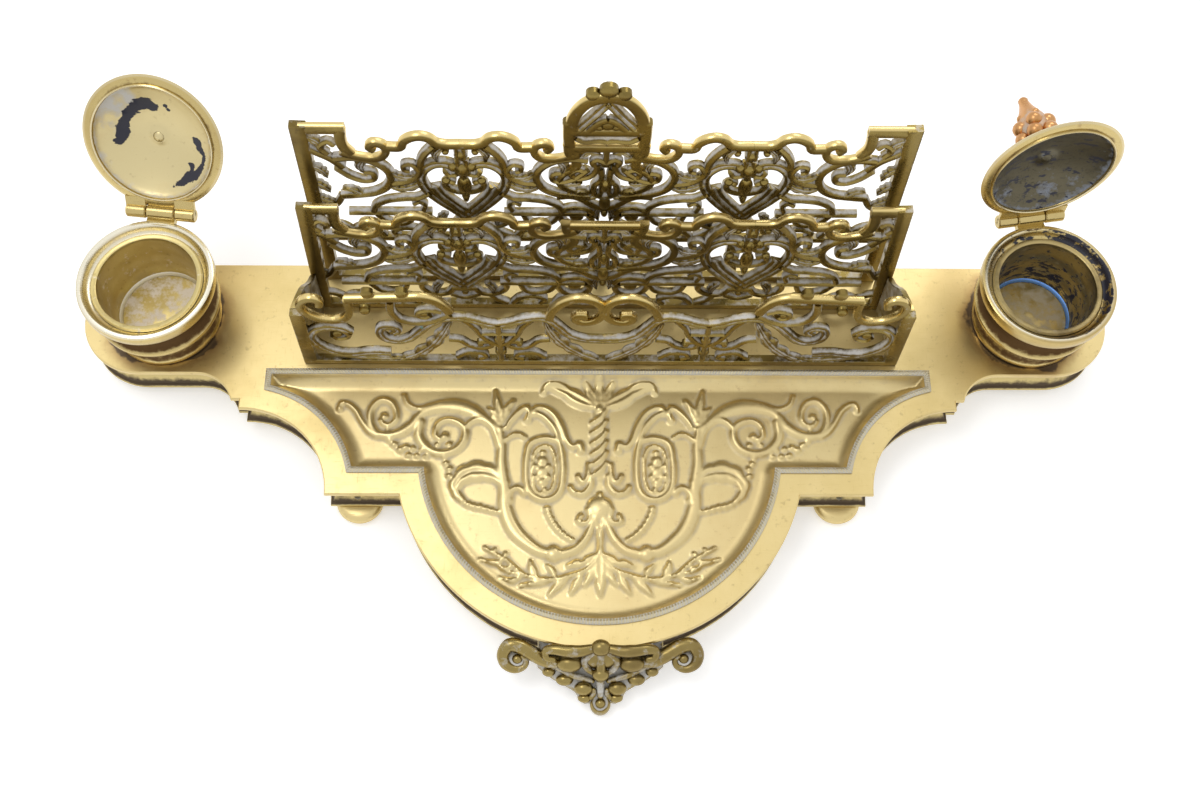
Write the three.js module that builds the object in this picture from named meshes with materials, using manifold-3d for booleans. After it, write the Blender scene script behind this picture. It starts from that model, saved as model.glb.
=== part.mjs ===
// Desk inkstand: a footed brass stand with a three-tier pierced letter rack, a dished pen tray
// and two turned inkwells with hinged, domed lids.
// Millimetres. +X is to the right, +Y to the back and +Z up. Heights are from the plate's top face.
import * as THREE from "three";
import { mergeVertices } from "three/addons/utils/BufferGeometryUtils.js";
import Module from "manifold-3d";

// Clearances and counts
const seatGap = 0.2;
const pinPlay = 0.12;
const boltPlay = 0.3;
const overrun = 1;
const weldGap = 0.0005;
const meltGap = 0.1;
const turnSteps = 24;
const smallSteps = 8;
const footSteps = 14;
const arcSteps = 9;
const filletSteps = 4;
const spanSteps = 2;

// Plate outline
const plateThick = 2.2;
const lobeRadius = 23.75;
const lobeX = 176.25;
const lobeY = 72.75;
const filletRadius = 15;
const filletX = 154.6;
const notchX = 136.9;
const notchY = 38.2;
const coveRadius = 34.6;
const coveX = 136.4;
const coveY = -0.2;
const stepY = 0;
const bowRadius = 76.8;
const bowY = 19.4;

// Apron and feet
const apronDeep = 15;
const apronWall = 5.2;
const apronLip = 0.9;
const apronHollow = 3.4;
const apronBead = 0.3;
const beadTall = 2.2;
const lipTall = 1.4;
const footRadius = 9;
const footTall = 5;
const padFrontX = 91;
const padFrontY = 3.5;
const padBackX = 150;
const padBackY = 87;
const bossRadius = 6;
const bossTall = 5;
const screwRadius = 1.6;
const screwHeadRadius = 3;
const screwHeadTall = 1.6;

// Pen tray
const trayMargin = 8.5;
const trayHalf = 127.6;
const trayBack = 50.9;
const borderWide = 2.2;
const borderTall = 1.6;
const trayDeep = 4.6;
const trayCove = 5.5;
const trayCorner = 1;
const panThick = 1.2;
const panLap = 2.4;

// Letter rack
const frontPanelY = 54.5;
const middlePanelY = 79;
const backPanelY = 91.5;
const panelThick = 3;
const rackReach = 102;
const middleTall = 72;
const tierStep = 29.5;
const frontTall = 56.5;
const rackX = 1;
const studRadius = 1.5;
const studShare = 0.49;
const backLug = 6;
const lugHalf = 3;
const lugTall = 1.6;
const nutRadius = 2.7;
const nutTall = 2;
const endThick = 2.4;
const endToe = 3.4;
const endTall = 40;

// Wells
const wellX = 168.2;
const wellY = 73.4;
const leftTurn = THREE.MathUtils.degToRad(-6);
const rightTurn = THREE.MathUtils.degToRad(8.5);
const wellTall = 30;
const rimRadius = 25.3;
const rimInner = 22.8;
const footRingRadius = 21.3;
const flangeRadius = 23.6;
const waistRadius = 20.6;
const channelDeep = 3.4;
const linerDrop = 2;
const linerRadius = 19;
const linerWall = 0.8;
const linerFlange = 20.6;
const linerFlangeTall = 3;
const wellFloor = 2.2;
const wellStudRadius = 2.5;
const wellNutRadius = 5;
const wellNutTall = 2.5;

// Lids and hinges
const pivotReach = 27.9;
const pivotRise = 1;
const lidGap = 0.4;
const lidRadius = 25.9;
const lidRise = 8;
const lidWall = 1.4;
const lidEdge = 1.4;
const lipRadius = 22.6;
const lipWide = 1.1;
const lipDeep = 1;
const knuckleRadius = 2.6;
const knuckleHalf = 5.25;
const hingeHalf = 13;
const pinRadius = 1.2;
const tabReach = 6;
const stemRadius = 2;
const rivetRadius = 2.8;
const finialTall = 27.5;
const finialRadius = 9;
const berryRadius = 2.7;
const berryCount = 6;
const leftOpen = THREE.MathUtils.degToRad(123);
const rightOpen = THREE.MathUtils.degToRad(96);

// Front ornament
const ornamentHalf = 34;
const ornamentThick = 4;
const ornamentTop = -3.4;
const ornamentFoot = 20;
const lobeBulge = 9;
const noseRadius = 5;
const volute = 5.5;
const toeReach = 20;
const toeHalf = 5;
const buttonRadius = 2.8;

// Heights worked out from the sizes above
const floorZ = -apronDeep - footTall;
const plateUnder = -plateThick;
const apronTop = plateUnder - seatGap;
const pivotZ = wellTall + pivotRise;
const linerTop = wellTall - linerDrop;

const brass = { color: 0xb08d3c, roughness: 0.35, metalness: 1 };
const darkBrass = { color: 0x7d6a30, roughness: 0.42, metalness: 1 };
const copper = { color: 0xb5764a, roughness: 0.35, metalness: 1 };
const steel = { color: 0x8f8f88, roughness: 0.45, metalness: 1 };
const liningBrass = { color: 0x8a7d5c, roughness: 0.5, metalness: 1 };

const wasm = await Module();
wasm.setup();
const inkstand = new THREE.Group();

// A closed mesh as a solid that can be joined and cut
function toSolid(geometry) {
  const bare = geometry.clone();
  bare.deleteAttribute("normal");
  bare.deleteAttribute("uv");
  const merged = mergeVertices(bare, weldGap);
  const vertProperties = new Float32Array(merged.attributes.position.array);
  const triVerts = new Uint32Array(merged.index.array);
  return new wasm.Manifold(new wasm.Mesh({ numProp: 3, vertProperties, triVerts }));
}

function toGeometry(solid) {
  const mesh = solid.getMesh();
  const geometry = new THREE.BufferGeometry();
  geometry.setAttribute("position", new THREE.BufferAttribute(mesh.vertProperties, mesh.numProp));
  geometry.setIndex(new THREE.BufferAttribute(mesh.triVerts, 1));
  geometry.computeVertexNormals();
  return geometry;
}

function addMesh(parent, name, solid, look) {
  const mesh = new THREE.Mesh(toGeometry(solid), new THREE.MeshStandardMaterial(look));
  mesh.name = name;
  parent.add(mesh);
  return mesh;
}

// Joins solids and melts the seams left on their shared flat faces
function unite(solids) {
  return solids.reduce((whole, piece) => whole.add(piece)).asOriginal().simplify(meltGap);
}

// A turned solid from a profile of [radius, height] pairs that starts and ends on the axis
function turned(profile, steps = turnSteps) {
  const points = profile.map(([radius, height]) => new THREE.Vector2(radius, height));
  const geometry = new THREE.LatheGeometry(points, steps);
  geometry.rotateX(Math.PI / 2);
  return toSolid(geometry);
}

// An upright cylinder between two heights
function rod(radius, low, high, steps = smallSteps) {
  return turned([[0, low], [radius, low], [radius, high], [0, high]], steps);
}

// A cylinder along X, centred on x = 0
function crossRod(radius, half, steps = smallSteps) {
  return rod(radius, -half, half, steps).rotate([0, 90, 0]);
}

function box(lowX, highX, lowY, highY, lowZ, highZ) {
  const geometry = new THREE.BoxGeometry(highX - lowX, highY - lowY, highZ - lowZ);
  geometry.translate((lowX + highX) / 2, (lowY + highY) / 2, (lowZ + highZ) / 2);
  return toSolid(geometry);
}

// A ball squashed to three half-lengths
function ball(halfX, halfY, halfZ, place, across = 8, down = 6) {
  const geometry = new THREE.SphereGeometry(1, across, down);
  geometry.scale(halfX, halfY, halfZ);
  geometry.translate(...place);
  return toSolid(geometry);
}

function arcPoints(centreX, centreY, radius, from, to, steps) {
  const points = [];
  for (let step = 0; step <= steps; step += 1) {
    const angle = from + ((to - from) * step) / steps;
    points.push([centreX + radius * Math.cos(angle), centreY + radius * Math.sin(angle)]);
  }
  return points;
}

// A right half, listed from the front centre round to the back, and its mirror image
function mirrored(half) {
  const left = half.slice(1).reverse().map(([x, y]) => [-x, y]);
  return [...half, ...left];
}

// The plate's outline, drawn in by an inset
function plateOutline(inset) {
  const bow = bowRadius - inset;
  const cove = coveRadius + inset;
  const fillet = filletRadius + inset;
  const filletY = lobeY - lobeRadius - filletRadius;
  const bowEnd = Math.asin((stepY + inset - bowY) / bow);
  const coveFrom = Math.PI - Math.asin((stepY + inset - coveY) / cove);
  const coveTo = Math.acos((notchX - inset - coveX) / cove);
  const filletFrom = Math.PI - Math.asin((notchY + inset - filletY) / fillet);
  return mirrored([
    ...arcPoints(0, bowY, bow, -Math.PI / 2, bowEnd, arcSteps),
    ...arcPoints(coveX, coveY, cove, coveFrom, coveTo, arcSteps),
    [notchX - inset, notchY + inset],
    ...arcPoints(filletX, filletY, fillet, filletFrom, Math.PI / 2, filletSteps),
    ...arcPoints(lobeX, lobeY, lobeRadius - inset, -Math.PI / 2, Math.PI / 2, arcSteps + 1),
  ]);
}

// The pen tray's outline, which keeps its margin to the plate's front, drawn in by an inset
function trayOutline(inset) {
  const bow = bowRadius - trayMargin - inset;
  const cove = coveRadius + trayMargin + inset;
  const front = stepY + trayMargin + inset;
  const bowEnd = Math.asin((front - bowY) / bow);
  const coveFrom = Math.PI - Math.asin((front - coveY) / cove);
  const back = trayBack - inset;
  const sideTo = Math.acos((trayHalf - inset - coveX) / cove);
  const backTo = Math.PI - Math.asin(Math.min(1, (back - trayCorner - coveY) / cove));
  const coveTo = Math.max(sideTo, backTo);
  return mirrored([
    ...arcPoints(0, bowY, bow, -Math.PI / 2, bowEnd, arcSteps),
    ...arcPoints(coveX, coveY, cove, coveFrom, coveTo, arcSteps),
    [coveX + cove * Math.cos(coveTo), back],
  ]);
}

// A skin through outlines at [inset, height] pairs: capped at both ends, or closed on itself
function loft(outline, levels, closed = false) {
  const rings = levels.map(([inset, height]) => outline(inset).map(([x, y]) => [x, y, height]));
  const count = rings[0].length;
  const positions = rings.flat(2);
  const index = [];
  const spans = closed ? rings.length : rings.length - 1;
  for (let ring = 0; ring < spans; ring += 1) {
    const lower = ring * count;
    const upper = ((ring + 1) % rings.length) * count;
    for (let here = 0; here < count; here += 1) {
      const next = (here + 1) % count;
      index.push(lower + here, lower + next, upper + next);
      index.push(lower + here, upper + next, upper + here);
    }
  }
  if (!closed) {
    const flat = rings.map((ring) => ring.map(([x, y]) => new THREE.Vector2(x, y)));
    const top = (rings.length - 1) * count;
    for (const [a, b, c] of THREE.ShapeUtils.triangulateShape(flat[0], [])) {
      index.push(a, c, b);
    }
    for (const [a, b, c] of THREE.ShapeUtils.triangulateShape(flat[rings.length - 1], [])) {
      index.push(top + a, top + b, top + c);
    }
  }
  const geometry = new THREE.BufferGeometry();
  geometry.setAttribute("position", new THREE.Float32BufferAttribute(positions, 3));
  geometry.setIndex(index);
  return toSolid(geometry);
}

// Plate
const footPlaces = {
  foot_front_left: [-padFrontX, padFrontY],
  foot_front_right: [padFrontX, padFrontY],
  foot_back_left: [-padBackX, padBackY],
  foot_back_right: [padBackX, padBackY],
};
const studRows = { front: frontPanelY, middle: middlePanelY, back: backPanelY - backLug };
const studX = rackReach * studShare;

function topPlate() {
  let plate = loft(plateOutline, [[0, plateUnder], [0, 0]]);
  plate = plate.subtract(loft(trayOutline, [[borderWide, plateUnder - overrun], [borderWide, overrun]]));
  for (const side of [-1, 1]) {
    const wellHole = rod(wellStudRadius + boltPlay, plateUnder - overrun, overrun);
    plate = plate.subtract(wellHole.translate([side * wellX, wellY, 0]));
    for (const row of Object.values(studRows)) {
      const hole = rod(studRadius + boltPlay, plateUnder - overrun, overrun);
      plate = plate.subtract(hole.translate([rackX + side * studX, row, 0]));
    }
  }
  return plate;
}

// Casing: a moulded wall under the plate's edge, with a boss for each foot's screw
function apron() {
  const low = -apronDeep;
  const hollowTop = apronTop - lipTall;
  const hollowLow = low + beadTall;
  const middle = (hollowTop + hollowLow) / 2;
  const shoulder = (apronBead + apronHollow) / 2;
  let wall = loft(plateOutline, [
    [apronBead, low],
    [apronBead, hollowLow],
    [shoulder, hollowLow + lipTall],
    [apronHollow, middle],
    [shoulder, hollowTop - lipTall / 2],
    [apronLip, hollowTop],
    [apronLip, apronTop],
    [apronWall, apronTop],
    [apronWall, low],
  ], true);
  const inside = loft(plateOutline, [[apronHollow, low], [apronHollow, low + bossTall]]);
  for (const [x, y] of Object.values(footPlaces)) {
    wall = wall.add(rod(bossRadius, low, low + bossTall).translate([x, y, 0]).intersect(inside));
  }
  for (const [x, y] of Object.values(footPlaces)) {
    const hole = rod(screwRadius + pinPlay, low - overrun, low + bossTall + overrun);
    wall = wall.subtract(hole.translate([x, y, 0]));
  }
  return wall.subtract(ornamentScrew(screwRadius + boltPlay, screwHeadRadius, 0));
}

function penTray() {
  const lapTop = plateUnder - seatGap;
  const lapLow = lapTop - panThick;
  const innerEdge = borderWide + trayCove;
  const pan = loft(trayOutline, [
    [innerEdge - panThick, -trayDeep - panThick],
    [borderWide + panThick, -trayDeep],
    [borderWide, lapLow],
    [borderWide - panLap, lapLow],
    [borderWide - panLap, lapTop],
  ]);
  const hollow = loft(trayOutline, [
    [innerEdge, -trayDeep],
    [borderWide + trayCove / 2, -trayDeep + panThick / 2],
    [borderWide + panThick / 2, lapTop - panThick / 2],
    [borderWide + seatGap, lapTop + overrun],
  ]);
  return pan.subtract(hollow);
}

function trayBorder() {
  return loft(trayOutline, [
    [0, seatGap],
    [0, borderTall / 2],
    [borderWide / 4, borderTall],
    [(borderWide * 3) / 4, borderTall],
    [borderWide, borderTall / 2],
    [borderWide, seatGap],
  ], true);
}

// Turned foot with a countersunk screw up into the casing's boss
function foot() {
  const top = -apronDeep - seatGap;
  const hole = screwRadius + pinPlay;
  const sink = screwHeadRadius + boltPlay;
  return turned([
    [hole, floorZ + screwHeadTall + boltPlay],
    [sink, floorZ + screwHeadTall + boltPlay],
    [sink, floorZ],
    [footRadius * 0.72, floorZ],
    [footRadius * 0.94, floorZ + footTall * 0.2],
    [footRadius, floorZ + footTall * 0.5],
    [footRadius * 0.9, floorZ + footTall * 0.82],
    [footRadius * 0.7, top],
    [hole, top],
    [hole, floorZ + screwHeadTall + boltPlay],
  ], footSteps);
}

function footScrew() {
  const under = floorZ + boltPlay;
  return turned([
    [0, under],
    [screwHeadRadius, under],
    [screwHeadRadius, under + screwHeadTall],
    [screwRadius, under + screwHeadTall],
    [screwRadius, -apronDeep + bossTall - seatGap],
    [0, -apronDeep + bossTall - seatGap],
  ], smallSteps);
}

// Letter rack patterns: each stroke is a half-width and the places along its middle line, as shares
// of the full reach across and of the full rise upwards
const reachShare = 1.02;
const topShare = 0.72;
const frontTopShare = 0.565;
const tierPostShare = 0.027;
const frontPostShare = 0.025;
const tierFootShare = 1.061;
const tierHeadShare = 1.012;
const middleFootShare = 1.083;
const middleHeadShare = 1.035;
const frontFootShare = 1.116;
const frontHeadShare = 1.099;
const middleSpreadShare = 1.07;
const frontSpreadShare = 1.04;
const heartShare = 0.4925;
const reach = rackReach / reachShare;
const tierRise = middleTall / topShare;
const frontRise = frontTall / frontTopShare;
const tierPost = tierPostShare * reach;
const frontPost = frontPostShare * reach;
const tierFootX = tierFootShare * reach;
const tierHeadX = tierHeadShare * reach;
const middleFootX = middleFootShare * reach;
const middleHeadX = middleHeadShare * reach;
const frontFootX = frontFootShare * reach;
const frontHeadX = frontHeadShare * reach;
const endX = frontFootX + frontPost - endThick / 2;

// Half of the heart motif, measured outwards from the heart's own middle line
const heartShares = [
  [0.016, [0.26, 0.6], [0.19, 0.6], [0.165, 0.65], [0.105, 0.65], [0.075, 0.615], [0, 0.615]],
  [0.015, [0.385, 0.565], [0.325, 0.535], [0.265, 0.545], [0.25, 0.6], [0.285, 0.62]],
  [0.016, [0.42, 0.53], [0.33, 0.53], [0.255, 0.46], [0.255, 0.38], [0.33, 0.31], [0.43, 0.3]],
  [0.015, [0.25, 0.385], [0.165, 0.42], [0.14, 0.5], [0.09, 0.61]],
  [0.02, [0, 0.155], [0.118, 0.315], [0.147, 0.4], [0.1, 0.5], [0.0, 0.48]],
  [0.013, [0.13, 0.19], [0.43, 0.19]],
  [0.013, [0.145, 0.19], [0.13, 0.12], [0.055, 0.11], [0.03, 0.16]],
  [0.013, [0.33, 0.19], [0.25, 0.285], [0.12, 0.31]],
  [0.013, [0.4, 0.46], [0.34, 0.4], [0.3, 0.34]],
  [0.013, [0, 0.33], [0.055, 0.36], [0.065, 0.4]],
  [0.012, [0.2, 0.02], [0.22, 0.1], [0.3, 0.19]],
];
const middleShares = [[0.02, [0, 0.615], [0, 0.29]]];
const centreShares = [
  [0.017, [0, 0.6], [0.13, 0.6]],
  [0.018, [0.13, 0.615], [0.105, 0.52], [0.055, 0.44], [0, 0.49]],
  [0.014, [0, 0.225], [0.11, 0.3]],
  [0.014, [0.11, 0.3], [0.05, 0.2], [0.06, 0.03]],
];
const spineShares = [
  [0.012, [0, 0.6], [0, 0.45]],
  [0.033, [0, 0.47], [0, 0.31]],
];
const cornerShares = [
  [0.022, [0.86, 0.698], [1.01, 0.698]],
  [0.02, [0.877, 0.7], [0.87, 0.55]],
  [0.016, [1.01, 0.58], [0.9, 0.5]],
  [0.014, [0.91, 0.3], [1.04, 0.22]],
];
const crestShares = [
  [0.018, [0, 0.692], [0.135, 0.692]],
  [0.02, [0.127, 0.73], [0.117, 0.55]],
  [0.022, [0.115, 0.7], [0.112, 0.78], [0.07, 0.85], [0, 0.872]],
  [0.022, [0.1, 0.7], [0, 0.85]],
];

// Balls: radius, place across, height of the stroke that carries them and stand above it
const crestBallShares = [[0.02, 0.048, 0.857, 0.038], [0.017, 0.132, 0.725, 0]];
const crestTopShares = [0.026, 0, 0.872, 0.038];
const frontShares = [
  [0.015, [0.96, 0.47], [1.01, 0.5], [1.035, 0.42], [0.98, 0.355], [0.89, 0.37], [0.87, 0.51]],
  [0.018, [0.88, 0.505], [0.6, 0.51], [0.545, 0.455], [0.57, 0.35]],
  [0.014, [0.72, 0.5], [0.72, 0.37], [0.65, 0.335], [0.6, 0.38]],
  [0.018, [0.37, 0.325], [0.48, 0.38], [0.58, 0.35], [0.66, 0.23], [0.75, 0.18], [0.79, 0.25], [0.75, 0.29]],
  [0.018, [0.37, 0.325], [0.26, 0.37], [0.17, 0.35], [0.1, 0.22], [0, 0.195]],
  [0.018, [0.9, 0.24], [0.97, 0.29], [1.04, 0.2], [0.96, 0.06], [0.8, 0.07]],
  [0.03, [0.68, 0.02], [0.6, 0.16], [0.54, 0.35]],
  [0.03, [0.04, 0.02], [0.14, 0.16], [0.2, 0.35]],
  [0.015, [0.19, 0.36], [0.15, 0.47], [0.07, 0.51], [0, 0.42], [0.06, 0.34]],
  [0.014, [0.53, 0.17], [0.37, 0.06], [0.21, 0.17]],
];
const frontSpineShares = [[0.016, [0.37, 0.33], [0.37, 0.04]]];
const frontBallShares = [[0.022, 0.797, 0.507, 0.033], [0.022, 0.682, 0.508, 0.032]];

// A flat ribbon on edge along a smooth line of [x, z] points
function ribbon(places, halfWide) {
  const curve = new THREE.SplineCurve(places.map(([x, z]) => new THREE.Vector2(x, z)));
  const steps = (places.length - 1) * (places.length > 2 ? spanSteps : 1);
  const positions = [];
  const index = [];
  for (let step = 0; step <= steps; step += 1) {
    const middle = curve.getPoint(step / steps);
    const along = curve.getTangent(step / steps);
    const left = [middle.x - along.y * halfWide, middle.y + along.x * halfWide];
    const right = [middle.x + along.y * halfWide, middle.y - along.x * halfWide];
    const front = -panelThick / 2;
    const back = panelThick / 2;
    positions.push(left[0], front, left[1], right[0], front, right[1]);
    positions.push(right[0], back, right[1], left[0], back, left[1]);
  }
  for (let step = 0; step < steps; step += 1) {
    for (let corner = 0; corner < 4; corner += 1) {
      const here = step * 4 + corner;
      const beside = step * 4 + ((corner + 1) % 4);
      index.push(here, beside + 4, here + 4, here, beside, beside + 4);
    }
  }
  const last = steps * 4;
  index.push(0, 2, 1, 0, 3, 2, last, last + 1, last + 2, last, last + 2, last + 3);
  const geometry = new THREE.BufferGeometry();
  geometry.setAttribute("position", new THREE.Float32BufferAttribute(positions, 3));
  geometry.setIndex(index);
  return toSolid(geometry);
}

// How far out the middle of a slanting side post stands at each height
function postEdge(footX, headX, top) {
  return (height) => footX + ((headX - footX) * height) / top;
}

// Strokes on both sides of a middle line, each a solid; none reaches past the side posts
function strokeSolids(shares, rise, about, lift, spread, edgeAt, sides = [-1, 1]) {
  const across = spread * reach;
  return shares.flatMap(([halfShare, ...places]) => sides.map((side) => {
    const points = places.map(([out, up]) => {
      const height = up * rise + lift;
      const edge = edgeAt(height);
      return [Math.max(-edge, Math.min(edge, about * spread + side * out * across)), height];
    });
    return ribbon(points, halfShare * reach);
  }));
}

function discSolids(shares, rise, lift, spread, sides = [-1, 1]) {
  return shares.flatMap(([radiusShare, across, up, stand]) => sides.map((side) => {
    const disc = rod(radiusShare * reach, -panelThick / 2, panelThick / 2).rotate([90, 0, 0]);
    return disc.translate([side * across * spread * reach, 0, up * rise + stand * reach + lift]);
  }));
}

// Bottom rail with its studs down through the plate, on lugs where they stand in front of it
function railSolids(halfLong, lug) {
  const low = seatGap;
  const high = seatGap + panelThick;
  const lugHigh = low + lugTall;
  const rail = box(-halfLong, halfLong, -panelThick / 2, panelThick / 2, low, high);
  const studLow = plateUnder - seatGap - nutTall - overrun;
  const solids = [rail];
  for (const side of [-1, 1]) {
    solids.push(rod(studRadius, studLow, lugHigh).translate([side * studX, -lug, 0]));
    if (lug > 0) {
      solids.push(rod(lugHalf, low, lugHigh).translate([side * studX, -lug, 0]));
      solids.push(box(side * studX - lugHalf, side * studX + lugHalf, -lug, 0, low, lugHigh));
    }
  }
  return solids;
}

function tierPanel(lift, footX, headX, spread, withCrest) {
  const top = topShare * tierRise + lift;
  const edgeAt = postEdge(footX, headX, top);
  const solids = [...railSolids(footX + tierPost, withCrest ? backLug : 0)];
  for (const side of [-1, 1]) {
    solids.push(ribbon([[side * footX, panelThick], [side * headX, top]], tierPost));
    solids.push(...strokeSolids(heartShares, tierRise, side * heartShare * reach, lift, spread, edgeAt));
    solids.push(...strokeSolids(middleShares, tierRise, side * heartShare * reach, lift, spread, edgeAt, [1]));
  }
  solids.push(...strokeSolids(centreShares, tierRise, 0, lift, spread, edgeAt));
  solids.push(...strokeSolids(spineShares, tierRise, 0, lift, spread, edgeAt, [1]));
  solids.push(...strokeSolids(cornerShares, tierRise, 0, lift, spread, edgeAt));
  solids.push(box(-footX, footX, -panelThick / 2, panelThick / 2, lift + seatGap, lift + panelThick));
  if (withCrest) {
    solids.push(...strokeSolids(crestShares, tierRise, 0, lift, spread, edgeAt));
    solids.push(...discSolids(crestBallShares, tierRise, lift, spread));
    solids.push(...discSolids([crestTopShares], tierRise, lift, spread, [1]));
    for (const x of [-studX, 0, studX]) {
      solids.push(ribbon([[x, seatGap], [x, lift + panelThick]], tierPost));
    }
  }
  return unite(solids);
}

function frontPanel() {
  const edgeAt = postEdge(frontFootX, frontHeadX, endTall);
  const solids = [...railSolids(frontFootX + frontPost, 0)];
  for (const side of [-1, 1]) {
    solids.push(ribbon([[side * frontFootX, panelThick], [side * frontHeadX, endTall]], frontPost));
  }
  solids.push(...strokeSolids(frontShares, frontRise, 0, 0, frontSpreadShare, edgeAt));
  solids.push(...strokeSolids(frontSpineShares, frontRise, 0, 0, frontSpreadShare, edgeAt));
  solids.push(...discSolids(frontBallShares, frontRise, 0, frontSpreadShare));
  return unite(solids);
}

// End plate between the front and middle panels: high in front and low at the back
const endOutlineShares = [[0, 0], [1, 0], [1, 0.66], [0.86, 0.69], [0.62, 0.8], [0.45, 0.92], [0, 1]];

function endPlate(side) {
  const frontY = frontPanelY + panelThick / 2 + seatGap;
  const backY = middlePanelY - panelThick / 2 - seatGap;
  const long = backY - frontY;
  const shape = new THREE.Shape(endOutlineShares.map(([y, z]) => new THREE.Vector2(y * long, z * (endTall - seatGap))));
  const geometry = new THREE.ExtrudeGeometry(shape, { depth: endThick, bevelEnabled: false });
  const plate = toSolid(geometry).rotate([90, 0, 90]).translate([-endThick / 2, 0, seatGap]);
  const slant = endToe / long;
  const lean = (frontFootX - frontHeadX) / endTall;
  const sheared = plate.warp((vertex) => {
    vertex[0] -= side * (slant * vertex[1] + lean * vertex[2]);
  });
  return sheared.translate([rackX + side * endX, frontY, 0]);
}

function hexNut(radius, tall, hole, top) {
  const outer = rod(radius, top - tall, top, 6);
  return outer.subtract(rod(hole, top - tall - overrun, top + overrun));
}

// Wells
function wellBody() {
  const floor = wellFloor + seatGap;
  const bore = linerRadius + seatGap;
  const seat = linerTop - linerFlangeTall - seatGap;
  const studLow = plateUnder - seatGap - wellNutTall - overrun;
  const cup = turned([
    [0, studLow],
    [wellStudRadius, studLow],
    [wellStudRadius, seatGap],
    [footRingRadius, seatGap],
    [footRingRadius, wellTall * 0.09],
    [waistRadius, wellTall * 0.12],
    [waistRadius, wellTall * 0.3],
    [flangeRadius, wellTall * 0.4],
    [flangeRadius, wellTall * 0.46],
    [waistRadius, wellTall * 0.55],
    [waistRadius, wellTall * 0.7],
    [rimRadius, wellTall * 0.78],
    [rimRadius, wellTall],
    [rimInner, wellTall],
    [rimInner, wellTall - channelDeep],
    [linerFlange + seatGap, wellTall - channelDeep],
    [linerFlange + seatGap, seat],
    [bore, seat],
    [bore, floor],
    [0, floor],
  ]);
  const armLow = wellTall - knuckleRadius;
  const arm = box(-knuckleHalf, knuckleHalf, rimInner + seatGap, pivotReach, armLow, wellTall);
  const knuckle = crossRod(knuckleRadius, knuckleHalf).translate([0, pivotReach, pivotZ]);
  const hole = crossRod(pinRadius + pinPlay, knuckleHalf + overrun).translate([0, pivotReach, pivotZ]);
  return cup.add(arm).add(knuckle).subtract(hole);
}

function wellLiner() {
  const low = wellFloor + seatGap * 2;
  const bore = linerRadius - linerWall;
  const flangeLow = linerTop - linerFlangeTall;
  return turned([
    [0, low],
    [linerRadius, low],
    [linerRadius, flangeLow],
    [linerFlange, flangeLow],
    [linerFlange, linerTop],
    [bore, linerTop],
    [bore, low + linerWall],
    [0, low + linerWall],
  ]);
}

// The lid as it lies closed, with the hinge line at its origin
function lid() {
  const under = lidGap - pivotRise;
  const edge = under + lidEdge;
  const hole = stemRadius + seatGap;
  const dome = turned([
    [hole, lidRise],
    [hole, lidRise - lidWall],
    [lidRadius * 0.42, lidRise * 0.62],
    [lidRadius * 0.66, lidRise * 0.36],
    [lipRadius - lipWide * 2, under + lidWall * 0.6],
    [lipRadius - lipWide, under],
    [lipRadius - lipWide, under - lipDeep],
    [lipRadius, under - lipDeep],
    [lipRadius, under],
    [lidRadius, under],
    [lidRadius, edge],
    [lidRadius * 0.93, edge + lidWall * 0.6],
    [lidRadius * 0.7, lidRise * 0.58],
    [lidRadius * 0.42, lidRise * 0.84],
    [hole, lidRise],
  ]).translate([0, -pivotReach, 0]);
  const notch = crossRod(knuckleRadius + lidGap, knuckleHalf + boltPlay);
  let solid = dome.subtract(notch);
  const from = knuckleHalf + boltPlay;
  const half = (hingeHalf - from) / 2;
  for (const side of [-1, 1]) {
    const middle = side * (from + half);
    const tab = box(middle - half, middle + half, -tabReach, 0, under, edge);
    solid = solid.add(tab).add(crossRod(knuckleRadius, half).translate([middle, 0, 0]));
  }
  return solid.subtract(crossRod(pinRadius + pinPlay, hingeHalf + overrun));
}

// Berry-cluster knob, riveted through the lid's middle: shares of its radius and height
const knobShares = [
  [0.56, 0], [0.5, 0.05], [0.34, 0.13], [0.4, 0.26], [0.7, 0.42], [0.7, 0.6], [0.48, 0.76], [0.26, 0.86], [0.18, 0.96],
];
const berryRowShares = [[0.7, 0.5, 0], [0.56, 0.68, 0.5]];

function finial() {
  const base = lidRise + seatGap;
  const profile = [
    [0, lidRise - lidWall * 2.4],
    [rivetRadius * 0.8, lidRise - lidWall * 2.3],
    [rivetRadius, lidRise - lidWall * 1.6],
    [stemRadius, lidRise - lidWall - seatGap],
    [stemRadius, base],
    ...knobShares.map(([out, up]) => [out * finialRadius, base + up * finialTall]),
    [0, base + finialTall],
  ];
  let solid = turned(profile, smallSteps);
  for (const [outShare, upShare, turnShare] of berryRowShares) {
    for (let count = 0; count < berryCount; count += 1) {
      const angle = ((count + turnShare) * 2 * Math.PI) / berryCount;
      const out = finialRadius * outShare;
      const place = [out * Math.cos(angle), out * Math.sin(angle), base + finialTall * upShare];
      solid = solid.add(ball(berryRadius, berryRadius, berryRadius, place, 6, 4));
    }
  }
  return solid.translate([0, -pivotReach, 0]);
}

// Front ornament: foliate scrolls on the bow, ending in a toe on the floor
function ornamentScrew(radius, headRadius, play) {
  const face = bowY - bowRadius + apronWall;
  const deep = apronWall + ornamentThick;
  const shank = rod(radius, -play - screwHeadTall, deep).rotate([90, 0, 0]);
  const head = rod(headRadius, -play - screwHeadTall, -play).rotate([90, 0, 0]);
  return shank.add(head).translate([0, face, ornamentTop - volute]);
}

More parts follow.
